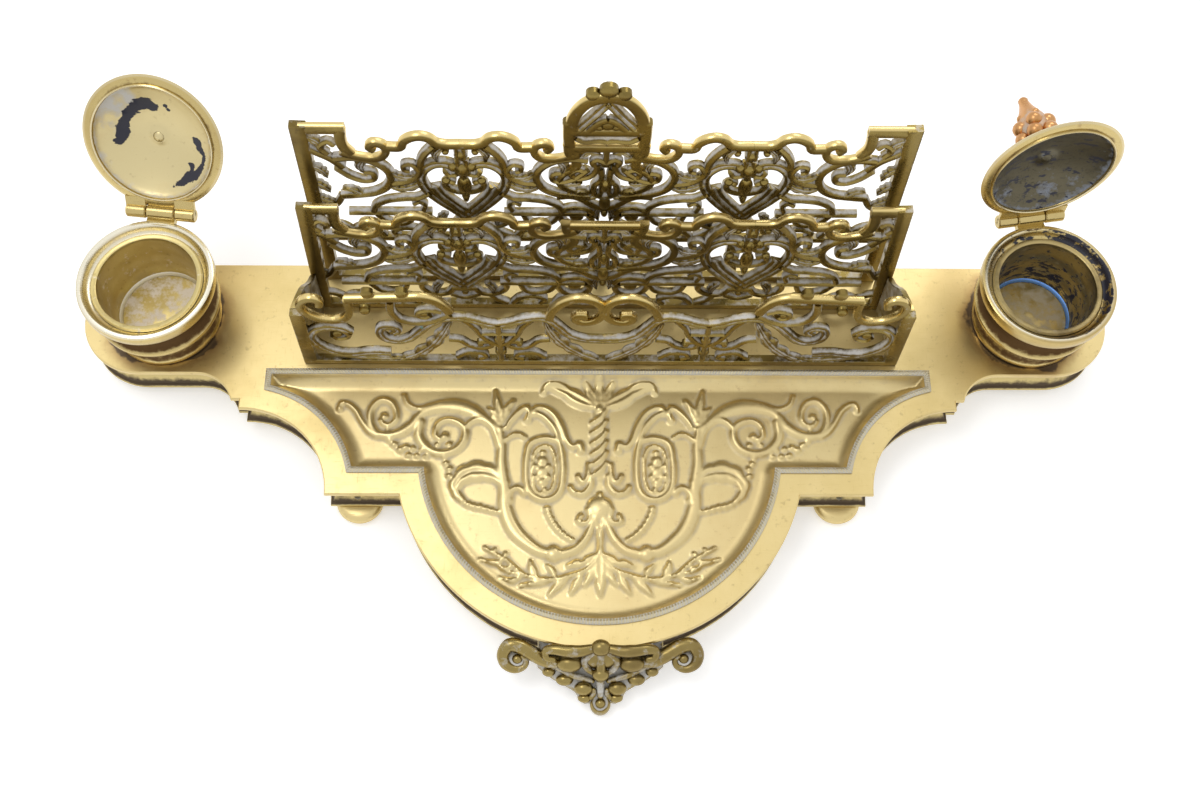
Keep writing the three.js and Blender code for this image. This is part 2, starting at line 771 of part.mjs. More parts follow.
function ornament() {
  const outer = bowRadius + seatGap + ornamentThick;
  const half = Math.asin(ornamentHalf / outer);
  const front = bowY - bowRadius;
  const middle = ornamentTop - volute;
  const band = (radius, low, high) => loft(
    () => [
      ...arcPoints(0, bowY, radius, -Math.PI / 2 - half, -Math.PI / 2 + half, arcSteps),
      [0, bowY],
    ],
    [[0, low], [0, high]],
  );
  const core = [0, front - ornamentThick, middle];
  const pieces = [
    band(outer, middle - volute, middle + volute / 2),
    ball(lobeBulge, lobeBulge * 0.9, lobeBulge * 0.9, core, 10, 8),
  ];
  for (const side of [-1, 1]) {
    const turn = side * half;
    const curlX = outer * Math.sin(turn);
    const curlY = bowY - outer * Math.cos(turn);
    const curl = rod(volute, -ornamentThick, ornamentThick).rotate([90, 0, THREE.MathUtils.radToDeg(turn)]);
    pieces.push(curl.translate([curlX, curlY, middle - volute * 0.2]));
    const lobePlace = [side * lobeBulge * 1.1, front - ornamentThick, middle - volute * 0.3];
    pieces.push(ball(lobeBulge * 1.2, lobeBulge * 0.75, lobeBulge * 0.85, lobePlace, 10, 8));
  }
  pieces.push(ball(noseRadius, noseRadius, noseRadius, [0, front - lobeBulge * 1.1, middle - volute * 0.5]));
  pieces.push(ball(noseRadius, noseRadius, noseRadius * 0.8, [0, front - ornamentThick, ornamentTop + seatGap]));
  const toeTall = (ornamentFoot - apronDeep) * 0.8;
  const toeHeight = -ornamentFoot + toeTall * 0.85;
  pieces.push(ball(toeHalf, toeReach / 2, toeTall, [0, front - toeReach * 0.42, toeHeight], 10, 8));
  const buttonY = front - toeReach + buttonRadius;
  pieces.push(ball(buttonRadius, buttonRadius, buttonRadius, [0, buttonY, -ornamentFoot + buttonRadius * 0.9]));
  const body = rod(bowRadius + seatGap, -ornamentFoot - overrun, volute, 96).translate([0, bowY, 0]);
  const reach = ornamentHalf * 3;
  const floor = box(-reach, reach, -reach * 2, reach, -ornamentFoot - reach, -ornamentFoot);
  const whole = unite(pieces).subtract(body).subtract(floor);
  return whole.subtract(ornamentScrew(screwRadius + pinPlay, screwRadius, 0));
}

// Assembly
addMesh(inkstand, "top_plate", topPlate(), brass);
addMesh(inkstand, "apron_casing", apron(), brass);
addMesh(inkstand, "pen_tray", penTray(), brass);
addMesh(inkstand, "tray_border", trayBorder(), brass);
addMesh(inkstand, "front_ornament", ornament(), brass);
addMesh(inkstand, "ornament_screw", ornamentScrew(screwRadius, screwHeadRadius, seatGap), steel);
for (const [name, [x, y]] of Object.entries(footPlaces)) {
  addMesh(inkstand, name, foot(), brass).position.set(x, y, 0);
  addMesh(inkstand, name.replace("foot", "foot_screw"), footScrew(), steel).position.set(x, y, 0);
}
const middlePanel = tierPanel(0, middleFootX, middleHeadX, middleSpreadShare, false);
const backPanel = tierPanel(tierStep, tierFootX, tierHeadX, 1, true);
addMesh(inkstand, "rack_front_panel", frontPanel(), darkBrass).position.set(rackX, frontPanelY, 0);
addMesh(inkstand, "rack_middle_panel", middlePanel, darkBrass).position.set(rackX, middlePanelY, 0);
addMesh(inkstand, "rack_back_panel", backPanel, darkBrass).position.set(rackX, backPanelY, 0);
addMesh(inkstand, "rack_end_left", endPlate(-1), darkBrass);
addMesh(inkstand, "rack_end_right", endPlate(1), darkBrass);
for (const [row, y] of Object.entries(studRows)) {
  for (const [label, side] of [["left", -1], ["right", 1]]) {
    const nut = hexNut(nutRadius, nutTall, studRadius + boltPlay, plateUnder - seatGap);
    addMesh(inkstand, `rack_nut_${row}_${label}`, nut, steel).position.set(rackX + side * studX, y, 0);
  }
}
const wellSides = [["left", -1, leftTurn, leftOpen], ["right", 1, rightTurn, rightOpen]];
for (const [label, side, turn, open] of wellSides) {
  const well = new THREE.Group();
  well.position.set(side * wellX, wellY, 0);
  well.rotation.z = turn;
  inkstand.add(well);
  addMesh(well, `${label}_well_body`, wellBody(), brass);
  addMesh(well, `${label}_well_liner`, wellLiner(), liningBrass);
  const nutTop = plateUnder - seatGap;
  addMesh(well, `${label}_well_nut`, hexNut(wellNutRadius, wellNutTall, wellStudRadius + boltPlay, nutTop), steel);
  const hinge = new THREE.Group();
  hinge.position.set(0, pivotReach, pivotZ);
  well.add(hinge);
  addMesh(hinge, `${label}_hinge_pin`, crossRod(pinRadius, hingeHalf), brass);
  const swing = new THREE.Group();
  swing.rotation.x = -open;
  hinge.add(swing);
  addMesh(swing, `${label}_lid`, lid(), brass);
  addMesh(swing, `${label}_finial`, finial(), copper);
}

// The origin is the middle of the whole stand's footprint, on the surface that it stands on
const whole = new THREE.Box3().setFromObject(inkstand, true);
const middle = whole.getCenter(new THREE.Vector3());
inkstand.position.set(-middle.x, -middle.y, -whole.min.z);

export default inkstand;
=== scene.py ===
# Desk inkstand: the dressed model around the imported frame. Sizes are millimetres, from the plate's
# top face and the middle line, with +Y to the back, until stand() turns them into metres in the frame.
import math

import bmesh
import bpy
import numpy as np
from mathutils import Matrix, Vector
from mathutils.geometry import tessellate_polygon


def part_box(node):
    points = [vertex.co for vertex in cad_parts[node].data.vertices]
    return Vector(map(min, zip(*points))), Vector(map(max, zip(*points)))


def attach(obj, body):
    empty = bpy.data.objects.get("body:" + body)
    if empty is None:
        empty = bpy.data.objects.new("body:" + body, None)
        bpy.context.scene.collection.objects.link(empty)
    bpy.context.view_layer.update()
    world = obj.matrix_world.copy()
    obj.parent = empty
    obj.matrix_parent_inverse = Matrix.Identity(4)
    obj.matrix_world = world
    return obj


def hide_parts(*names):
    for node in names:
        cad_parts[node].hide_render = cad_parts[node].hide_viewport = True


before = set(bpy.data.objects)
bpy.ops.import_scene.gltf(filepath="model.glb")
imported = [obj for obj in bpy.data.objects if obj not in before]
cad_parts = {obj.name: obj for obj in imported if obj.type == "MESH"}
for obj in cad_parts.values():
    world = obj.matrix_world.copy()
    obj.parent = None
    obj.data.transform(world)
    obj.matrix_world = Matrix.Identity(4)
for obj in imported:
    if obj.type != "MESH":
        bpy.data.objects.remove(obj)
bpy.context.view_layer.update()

MM = 0.001
PLATE_LOW, PLATE_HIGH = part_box("top_plate")
BOW_RADIUS = 76.8
BOW_Y = 19.4
DATUM_Y = PLATE_LOW[1] - (BOW_Y - BOW_RADIUS) * MM
DATUM_Z = PLATE_HIGH[2]

# Plate, casing and tray, as in the construction
PLATE_THICK = 2.2
LOBE_RADIUS = 23.75
LOBE_X = 176.25
LOBE_Y = 72.75
FILLET_RADIUS = 15
FILLET_X = 154.6
NOTCH_X = 136.9
NOTCH_Y = 38.2
COVE_RADIUS = 34.6
COVE_X = 136.4
COVE_Y = -0.2
STEP_Y = 0
APRON_DEEP = 15
APRON_WALL = 5.2
FOOT_TALL = 5
FOOT_PLACES = (("front", 91, 3.5), ("back", 150, 87))
TRAY_MARGIN = 8.5
TRAY_HALF = 127.6
TRAY_BACK = 50.9
TRAY_CORNER = 1
BORDER_WIDE = 2.2
TRAY_DEEP = 4.6
TRAY_COVE = 5.5
PAN_THICK = 1.2

# Letter rack
FRONT_PANEL_Y = 54.5
MIDDLE_PANEL_Y = 79
BACK_PANEL_Y = 91.5
PANEL_THICK = 3
REACH = 100
RISE = 100
TIER_TALL = 72
TIER_STEP = 29.5
RACK_X = 1
STUD_X = 50
TIER_POST = 2.7
TIER_FOOT_X = 106.1
TIER_HEAD_X = 101.2
MIDDLE_FOOT_X = 108.3
MIDDLE_HEAD_X = 103.5
MIDDLE_SPREAD = 1.07
FRONT_POST = 2.5
FRONT_FOOT_X = 111.6
FRONT_HEAD_X = 109.9
FRONT_SPREAD = 1.04
END_TALL = 40
END_THICK = 2.4
END_TOE = 3.4

# Wells, lids and hinges
WELL_X = 168.2
WELL_Y = 73.4
WELL_TALL = 30
RIM_INNER = 22.8
LINER_TOP = 28
LINER_RADIUS = 19
LINER_WALL = 0.8
LINER_FLANGE = 20.6
PIVOT_REACH = 27.9
PIVOT_RISE = 1
LID_GAP = 0.4
LID_RISE = 8
LID_EDGE = 1.4
KNUCKLE_RADIUS = 2.6
KNUCKLE_HALF = 5.25
HINGE_HALF = 13
FINIAL_TALL = 26.9
FINIAL_RADIUS = 9
SIDES = {"left": -1, "right": 1}
BOTH = (-1, 1)
TURNS = {"left": math.radians(-6), "right": math.radians(8.5)}
OPENINGS = {"left": math.radians(123), "right": math.radians(96)}

# Camera of the photograph, in the same millimetres
CAMERA_PLACE = (-9.9, -160.3, 454.5)
CAMERA_YAW = math.radians(2.89)
CAMERA_DIP = math.radians(66.18)
CAMERA_ROLL = math.radians(2.82)
CAMERA_LENS = 39


def places_of(numbers, unit, size=2):
    """Pairs, or longer groups, from a flat run of numbers, each divided by the unit."""
    return [tuple(n / unit for n in numbers[i:i + size]) for i in range(0, len(numbers), size)]


def stand(point):
    """A place in the frame, in metres, from the millimetres used here."""
    return Vector((point[0] * MM, point[1] * MM + DATUM_Y, point[2] * MM + DATUM_Z))


# Mesh making

def piece(name, points, faces, materials, body="root", nodes=(), slot="brass", marks=None, inks=None,
          looks=None,
          sharp=38):
    mesh = bpy.data.meshes.new(name)
    mesh.from_pydata([stand(p) for p in points], [], faces)
    if looks:
        mesh.polygons.foreach_set("material_index", looks)
    mesh.validate()
    shell = bmesh.new()
    shell.from_mesh(mesh)
    bmesh.ops.recalc_face_normals(shell, faces=shell.faces)
    shell.to_mesh(mesh)
    shell.free()
    for label, values in (("grime_and_painted_light", marks), ("ink", inks)):
        layer = mesh.attributes.new(label, "FLOAT", "POINT")
        if values is not None:
            layer.data.foreach_set("value", np.asarray(values, np.float32))
    for material in materials:
        mesh.materials.append(material)
    mesh.shade_smooth()
    mesh.set_sharp_from_angle(angle=math.radians(sharp))
    made = bpy.data.objects.new(name, mesh)
    bpy.context.scene.collection.objects.link(made)
    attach(made, body)
    if nodes:
        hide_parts(*nodes)


class Heap:
    """Points, faces, marks (dirt and painted light) and ink of one piece, gathered from several closed shapes."""

    def __init__(self):
        self.points = []
        self.faces = []
        self.marks = []
        self.inks = []
        self.looks = []
        self.shapes = 0

    def add(self, points, faces, marks=None, inks=None, look=0):
        start = len(self.points)
        self.shapes += 1
        self.points.extend(tuple(p) for p in points)
        self.faces.extend(tuple(start + i for i in face) for face in faces)
        self.looks.extend([look] * len(faces))
        self.marks.extend(marks if marks is not None else [0.0] * len(points))
        self.inks.extend(inks if inks is not None else [0.0] * len(points))

    def turn(self, matrix):
        self.points = [tuple(matrix @ Vector(p)) for p in self.points]

    def make(self, name, *materials, **facts):
        piece(name, self.points, self.faces, materials, marks=self.marks, inks=self.inks, looks=self.looks,
              **facts)


def ring_faces(rings, count, closed_rings, closed_count, caps):
    faces = []
    spans = rings if closed_rings else rings - 1
    steps = count if closed_count else count - 1
    for ring in range(spans):
        low = ring * count
        high = ((ring + 1) % rings) * count
        for here in range(steps):
            beside = (here + 1) % count
            faces.append((low + here, low + beside, high + beside, high + here))
    if caps:
        faces.append(tuple(reversed(range(count))))
        faces.append(tuple(range((rings - 1) * count, rings * count)))
    return faces


def turned(profile, place=(0, 0, 0), steps=72, axis="Z", marks=None):
    """A turned shape from [radius, height] pairs; it closes on the axis or on itself."""
    points = []
    grime_and_painted_light = []
    on_axis = abs(profile[0][0]) < 1e-6
    for index, (radius, height) in enumerate(profile):
        for step in range(steps):
            angle = 2 * math.pi * step / steps
            spot = (radius * math.cos(angle), radius * math.sin(angle), height)
            if axis == "X":
                spot = (height, radius * math.cos(angle), radius * math.sin(angle))
            points.append(tuple(a + b for a, b in zip(spot, place)))
            grime_and_painted_light.append(marks[index] if marks else 0.0)
    faces = ring_faces(len(profile), steps, not on_axis, True, False)
    if on_axis:
        return weld_ends(points, faces, grime_and_painted_light, len(profile), steps)
    return points, faces, grime_and_painted_light


def weld_ends(points, faces, grime_and_painted_light, rings, steps):
    """Draws the first and last rings, which lie on the axis, into one point each."""
    last = (rings - 1) * steps

    def home(index):
        if index < steps:
            return 0
        if index >= last:
            return last
        return index
    kept = [0, *range(steps, last), last]
    place_of = {old: new for new, old in enumerate(kept)}
    tidy = []
    for face in faces:
        loop = []
        for index in face:
            spot = place_of[home(index)]
            if spot not in loop:
                loop.append(spot)
        if len(loop) > 2:
            tidy.append(tuple(loop))
    return [points[i] for i in kept], tidy, [grime_and_painted_light[i] for i in kept]


def ball(place, radii, across=20, down=12):
    profile = []
    for step in range(down + 1):
        angle = math.pi * step / down
        profile.append((max(0.0, math.sin(angle)), -math.cos(angle)))
    profile[0] = (0.0, -1.0)
    profile[-1] = (0.0, 1.0)
    points, faces, grime_and_painted_light = turned(profile, steps=across)
    spots = [tuple(p[i] * radii[i] + place[i] for i in range(3)) for p in points]
    return spots, faces, grime_and_painted_light


def smooth_line(places, step):
    """A Catmull-Rom line through the places, sampled about every step."""
    if len(places) == 2:
        return np.array(places, float)
    spots = np.array(places, float)
    ends = np.vstack([2 * spots[0] - spots[1], spots, 2 * spots[-1] - spots[-2]])
    line = []
    for i in range(1, len(ends) - 2):
        p0, p1, p2, p3 = ends[i - 1], ends[i], ends[i + 1], ends[i + 2]
        count = max(2, int(np.linalg.norm(p2 - p1) / step))
        for k in range(count):
            t = k / count
            line.append(0.5 * (2 * p1 + (p2 - p0) * t + (2 * p0 - 5 * p1 + 4 * p2 - p3) * t * t
                               + (3 * p1 - p0 - 3 * p2 + p3) * t ** 3))
    line.append(spots[-1])
    return np.array(line)


def normals_of(line):
    along = np.gradient(line, axis=0)
    along /= np.maximum(np.linalg.norm(along, axis=1)[:, None], 1e-9)
    return np.stack([-along[:, 1], along[:, 0]], axis=1)


def tube(heap, places, radii, mark, steps=14):
    """A rounded cord along a smooth line in space, its ends closed to blunt tips."""
    line = smooth_line(places, 0.5)
    count = len(line)
    share = np.linspace(0, 1, count)
    radius = np.interp(share, np.linspace(0, 1, len(radii)), radii)
    along = np.gradient(line, axis=0)
    along /= np.linalg.norm(along, axis=1)[:, None]
    points = []
    grime_and_painted_light = []
    for k in range(count):
        side = np.cross(along[k], (0, 0, 1))
        side /= max(np.linalg.norm(side), 1e-6)
        above = np.cross(side, along[k])
        for step in range(steps):
            angle = 2 * math.pi * step / steps
            spot = line[k] + radius[k] * (side * math.cos(angle) + above * math.sin(angle))
            points.append(tuple(spot))
            # Heavier marks on each cord's underside are painted shade.
            grime_and_painted_light.append(mark + 0.35 * max(0.0, -math.sin(angle)))
    heap.add(points, ring_faces(count, steps, False, True, True), grime_and_painted_light)
    for end in (0, -1):
        heap.add(*ball(line[end], (radius[end],) * 3, 14, 8))


# Outlines, as in the construction, drawn in by an inset

def arc(cx, cy, radius, start, stop, steps):
    return [(cx + radius * math.cos(start + (stop - start) * k / steps),
             cy + radius * math.sin(start + (stop - start) * k / steps)) for k in range(steps + 1)]


def mirrored(half):
    return half + [(-x, y) for x, y in reversed(half[1:])]


def plate_outline(inset, fine=36):
    bow = BOW_RADIUS - inset
    cove = COVE_RADIUS + inset
    fillet = FILLET_RADIUS + inset
    fillet_y = LOBE_Y - LOBE_RADIUS - FILLET_RADIUS
    bow_end = math.asin((STEP_Y + inset - BOW_Y) / bow)
    cove_from = math.pi - math.asin((STEP_Y + inset - COVE_Y) / cove)
    cove_to = math.acos((NOTCH_X - inset - COVE_X) / cove)
    fillet_from = math.pi - math.asin((NOTCH_Y + inset - fillet_y) / fillet)
    return mirrored(
        arc(0, BOW_Y, bow, -math.pi / 2, bow_end, fine)
        + arc(COVE_X, COVE_Y, cove, cove_from, cove_to, fine // 2)
        + [(NOTCH_X - inset, NOTCH_Y + inset)]
        + arc(FILLET_X, fillet_y, fillet, fillet_from, math.pi / 2, fine // 4)
        + arc(LOBE_X, LOBE_Y, LOBE_RADIUS - inset, -math.pi / 2, math.pi / 2, fine)
    )


def tray_outline(inset, fine=36):
    bow = BOW_RADIUS - TRAY_MARGIN - inset
    cove = COVE_RADIUS + TRAY_MARGIN + inset
    front = STEP_Y + TRAY_MARGIN + inset
    back = TRAY_BACK - inset
    bow_end = math.asin((front - BOW_Y) / bow)
    cove_from = math.pi - math.asin((front - COVE_Y) / cove)
    side_to = math.acos((TRAY_HALF - inset - COVE_X) / cove)
    back_to = math.pi - math.asin(min(1.0, (back - TRAY_CORNER - COVE_Y) / cove))
    cove_to = max(side_to, back_to)
    return mirrored(
        arc(0, BOW_Y, bow, -math.pi / 2, bow_end, fine)
        + arc(COVE_X, COVE_Y, cove, cove_from, cove_to, fine // 2)
        + [(COVE_X + cove * math.cos(cove_to), back)]
    )


def loft(outline, levels, marks=None):
    """A closed ring moulding through outlines at (inset, height) levels, up the outside and down inside."""
    points = []
    grime_and_painted_light = []
    count = 0
    for index, (inset, height) in enumerate(levels):
        spots = outline(inset)
        count = len(spots)
        points.extend((x, y, height) for x, y in spots)
        grime_and_painted_light.extend([marks[index] if marks else 0.0] * count)
    return points, ring_faces(len(levels), count, True, True, False), grime_and_painted_light


# Materials

def new_material(name):
    made = bpy.data.materials.new(name)
    made.use_nodes = True
    tree = made.node_tree
    tree.nodes.clear()
    out = tree.nodes.new("ShaderNodeOutputMaterial")
    shader = tree.nodes.new("ShaderNodeBsdfPrincipled")
    tree.links.new(shader.outputs[0], out.inputs[0])
    return made, tree, shader


def node(tree, kind, links=(), **values):
    made = tree.nodes.new(kind)
    for key, value in values.items():
        if key.startswith("in_"):
            made.inputs[key[3:].replace("_", " ")].default_value = value
        else:
            setattr(made, key, value)
    for name, source in links:
        tree.links.new(source, made.inputs[name])
    return made


def noise(tree, spots, scale, detail=4.0, rough=0.55, stretch=(1, 1, 1), turn=0.0):
    mapping = node(tree, "ShaderNodeMapping", [("Vector", spots)])
    mapping.inputs["Scale"].default_value = stretch
    mapping.inputs["Rotation"].default_value = (0, 0, turn)
    made = node(tree, "ShaderNodeTexNoise", [("Vector", mapping.outputs[0])],
                in_Scale=scale, in_Detail=detail, in_Roughness=rough)
    return made.outputs["Fac"]


def ramp(tree, source, low, high, low_value=0.0, high_value=1.0):
    made = node(tree, "ShaderNodeMapRange", [("Value", source)])
    for key, value in (("From Min", low), ("From Max", high), ("To Min", low_value), ("To Max", high_value)):
        made.inputs[key].default_value = value
    return made.outputs[0]


def mix_colour(tree, amount, first, second):
    made = tree.nodes.new("ShaderNodeMix")
    made.data_type = "RGBA"
    for index, value in ((0, amount), (6, first), (7, second)):
        if isinstance(value, (tuple, list)):
            made.inputs[index].default_value = (*value, 1.0)
        elif isinstance(value, float):
            made.inputs[index].default_value = value
        else:
            tree.links.new(value, made.inputs[index])
    return made.outputs[2]


def maths(tree, kind, first, second, clamp=True):
    made = tree.nodes.new("ShaderNodeMath")
    made.operation = kind
    made.use_clamp = clamp
    for index, value in ((0, first), (1, second)):
        if isinstance(value, float):
            made.inputs[index].default_value = value
        else:
            tree.links.new(value, made.inputs[index])
    return made.outputs[0]


DRY_INK = (0.012, 0.012, 0.026)


def brass(name, clean, stained, tarnish, residue, roughness, stain_amount, scratch, residue_span=(0.35, 0.8),
          accent=None, patch=0.22, polish_and_highlight=(0.80, 0.67, 0.33), dull=0.85):
    """Old polished metal: cloudy stains, crossed hair scratches, pale or dark matter in its hollows, which on some
    parts is painted shade, and a paler polish colour, a painted highlight, where the marks fall below zero.
    """
    made, tree, shader = new_material(name)
    spots = node(tree, "ShaderNodeTexCoord").outputs["Object"]
    clouds = noise(tree, spots, 26.0, 6.0, 0.62)
    specks = noise(tree, spots, 420.0, 3.0, 0.6)
    hairs = noise(tree, spots, 150.0, 2.0, 0.6, (1, 22, 4), 0.35)
    cross_hairs = noise(tree, spots, 150.0, 2.0, 0.6, (20, 1, 4), -0.2)
    blotch = ramp(tree, clouds, 0.48, 0.66, 0.0, stain_amount)
    colour = mix_colour(tree, blotch, clean, stained)
    dots = ramp(tree, specks, 0.62, 0.75, 0.0, 0.45)
    colour = mix_colour(tree, dots, colour, tarnish)
    lines = maths(tree, "ADD", ramp(tree, hairs, 0.6, 0.7, 0.0, scratch),
                  ramp(tree, cross_hairs, 0.62, 0.7, 0.0, scratch))
    colour = mix_colour(tree, maths(tree, "MULTIPLY", lines, 0.4), colour, stained)
    grime_and_painted_light = node(tree, "ShaderNodeAttribute", attribute_name="grime_and_painted_light").outputs["Fac"]
    # Marks below zero mix in the paler polish colour as painted highlights and sheen.
    colour = mix_colour(tree, ramp(tree, grime_and_painted_light, -0.1, -0.5), colour, polish_and_highlight)
    patchy = ramp(tree, noise(tree, spots, 230.0, 5.0, 0.7), 0.3, 0.7, -patch, patch)
    matter = ramp(tree, maths(tree, "ADD", grime_and_painted_light, patchy, False), residue_span[0], residue_span[1])
    colour = mix_colour(tree, matter, colour, residue)
    if accent:
        colour, matter = accent(tree, spots, colour, matter)
    wet = node(tree, "ShaderNodeAttribute", attribute_name="ink").outputs["Fac"]
    spread = ramp(tree, noise(tree, spots, 190.0, 5.0, 0.65, (1, 1.5, 2.4)), 0.3, 0.7, -0.3, 0.3)
    inked = ramp(tree, maths(tree, "ADD", wet, spread, False), 0.5, 0.58)
    colour = mix_colour(tree, inked, colour, DRY_INK)
    tree.links.new(colour, shader.inputs["Base Color"])
    bare = maths(tree, "SUBTRACT", 1.0, maths(tree, "ADD", maths(tree, "MULTIPLY", matter, dull), inked))
    tree.links.new(bare, shader.inputs["Metallic"])
    worn = ramp(tree, clouds, 0.3, 0.7, roughness - 0.06, roughness + 0.1)
    worn = maths(tree, "ADD", worn, maths(tree, "MULTIPLY", lines, 0.25))
    tree.links.new(maths(tree, "ADD", worn, maths(tree, "MULTIPLY", matter, 0.4)), shader.inputs["Roughness"])
    bump = node(tree, "ShaderNodeBump", [("Height", maths(tree, "ADD", lines, specks))],
                in_Strength=0.12, in_Distance=0.00012)
    tree.links.new(bump.outputs[0], shader.inputs["Normal"])
    return made


def verdigris(tree, spots, colour, matter):
    """A few turquoise spots of corrosion."""
    field = noise(tree, spots, 75.0, 3.0, 0.6)
    mask = ramp(tree, field, 0.73, 0.76, 0.0, 0.8)
    return mix_colour(tree, mask, colour, (0.13, 0.34, 0.33)), maths(tree, "ADD", matter, mask)


def ringed(tree, spots, colour, matter):
    """Reddish tarnish on the deck around the foot of each well, with a near-black ring close around the foot."""
    cloud = ramp(tree, noise(tree, spots, 60.0, 4.0, 0.6), 0.3, 0.7, -0.002, 0.003)
    for side in SIDES.values():
        gap = node(tree, "ShaderNodeVectorMath", [(0, spots)], operation="DISTANCE")
        gap.inputs[1].default_value = stand((side * WELL_X, WELL_Y, 0))
        near = maths(tree, "ADD", gap.outputs["Value"], cloud, False)
        colour = mix_colour(tree, ramp(tree, near, 0.0265, 0.0215, 0.0, 0.75), colour, (0.40, 0.24, 0.11))
        colour = mix_colour(tree, ramp(tree, near, 0.0229, 0.0221, 0.0, 0.8), colour, (0.09, 0.08, 0.08))
    return colour, matter


FLOOR_LIFT = 0.36


def plain_floor():
    made, tree, shader = new_material("floor_paper")
    shader.inputs["Base Color"].default_value = (0.94, 0.94, 0.94, 1)
    shader.inputs["Roughness"].default_value = 0.9
    shader.inputs["Emission Color"].default_value = (1, 1, 1, 1)
    tree.links.new(maths(tree, "MULTIPLY", seen_directly(tree), FLOOR_LIFT), shader.inputs["Emission Strength"])
    return made


def seen_directly(tree):
    """One where the eye, or a mirroring or clear surface, looks at the background."""
    path = node(tree, "ShaderNodeLightPath")
    mirrored_too = maths(tree, "MAXIMUM", path.outputs["Is Camera Ray"], path.outputs["Is Glossy Ray"])
    return maths(tree, "MAXIMUM", mirrored_too, path.outputs["Is Transmission Ray"])


DECK = brass("deck_brass", (0.72, 0.575, 0.275), (0.60, 0.465, 0.195), (0.36, 0.26, 0.12), (0.52, 0.48, 0.38),
             0.34, 0.5, 0.6, accent=ringed)
TRAY = brass("tray_brass", (0.70, 0.57, 0.29), (0.60, 0.46, 0.22), (0.42, 0.29, 0.15), (0.52, 0.45, 0.31),
             0.33, 0.5, 0.4, (0.3, 1.3))
# The rack's paler polish colour, mixed in where marks fall below zero, is polish with a painted highlight on the
# top scrolls' edges and the cheeks' top edges.
RACK = brass("rack_brass", (0.25, 0.185, 0.055), (0.12, 0.082, 0.026), (0.05, 0.035, 0.018), (0.64, 0.62, 0.59),
             0.26, 0.9, 0.3, (0.3, 1.0), verdigris, 0.42, (0.74, 0.58, 0.25))
# The well's dark red-brown matter in its hollows is tarnish with painted shade under the rim; its cream colour for
# marks below zero is a painted highlight on the left rim and the lid lips, and a painted sheen in the right well's
# channel.
WELL = brass("well_brass", (0.56, 0.44, 0.19), (0.44, 0.31, 0.12), (0.26, 0.15, 0.07), (0.125, 0.068, 0.024),
             0.24, 0.6, 0.4, polish_and_highlight=(0.84, 0.79, 0.64), dull=0.15)
ORNAMENT = brass("ornament_brass", (0.31, 0.235, 0.085), (0.17, 0.12, 0.045), (0.13, 0.09, 0.04),
                 (0.60, 0.59, 0.56),
                 0.27, 0.8, 0.4, (0.25, 0.7), patch=0.4)
# The apron's near-black matter paints the shadow under the plate's edge and shade in the moulding's hollows, over
# dark brown dirt.
APRON = brass("apron_brass", (0.56, 0.45, 0.20), (0.40, 0.30, 0.12), (0.22, 0.15, 0.07), (0.09, 0.06, 0.03),
              0.3, 0.7, 0.5, (0.3, 0.7))
PALE_LINING = brass("pale_lining", (0.62, 0.51, 0.23), (0.46, 0.34, 0.12), (0.26, 0.18, 0.08),
                    (0.86, 0.78, 0.68),
                    0.33, 0.8, 0.2, (0.35, 0.7), patch=0.45)
DARK_LINING = brass("dark_lining", (0.46, 0.36, 0.16), (0.16, 0.12, 0.06), (0.04, 0.035, 0.03),
                    (0.46, 0.39, 0.26),
                    0.36, 1.0, 0.3, patch=0.45)
# The left dish is brass paler than the well's, painted lighter to offset the shade on the lid's underside; its
# pale matter at the dish's edge is a painted highlight.
PALE_DISH = brass("pale_dish", (0.66, 0.56, 0.31), (0.62, 0.49, 0.26), (0.42, 0.33, 0.18), (0.62, 0.60, 0.56),
                  0.4, 0.9, 0.2, patch=0.3)
# The right dish's bluish-grey matter, toward its edge and in its patches, is a painted sheen.
DARK_DISH = brass("dark_dish", (0.135, 0.12, 0.08), (0.035, 0.03, 0.028), (0.012, 0.011, 0.012),
                  (0.30, 0.33, 0.39),
                  0.42, 1.0, 0.6, patch=0.35)
PALE_LINE = brass("pale_line", (0.85, 0.82, 0.72), (0.75, 0.70, 0.58), (0.5, 0.45, 0.35), (0.8, 0.8, 0.75),
                  0.5, 0.4, 0.0)
BLUE_LINE = brass("blue_line", (0.22, 0.45, 1.0), (0.12, 0.27, 0.9), (0.02, 0.03, 0.2), (0.1, 0.2, 0.7),
                  0.5, 0.4, 0.0)
BORDER = brass("border_brass", (0.64, 0.57, 0.38), (0.52, 0.46, 0.32), (0.3, 0.25, 0.17), (0.62, 0.60, 0.55),
               0.4, 0.6, 0.0)
COPPER = brass("copper_finish", (0.58, 0.31, 0.13), (0.42, 0.21, 0.08), (0.25, 0.12, 0.05), (0.60, 0.50, 0.41),
               0.28, 0.7, 0.2, (0.35, 0.8), patch=0.4)
STEEL = brass("screw_steel", (0.42, 0.42, 0.40), (0.3, 0.28, 0.25), (0.2, 0.15, 0.1), (0.3, 0.27, 0.22),
              0.4, 0.5, 0.4)
LININGS = {"left": PALE_LINING, "right": DARK_LINING}
DISHES = {"left": PALE_DISH, "right": DARK_DISH}
INK_LINES = {"left": PALE_LINE, "right": BLUE_LINE}


# Plate and casing

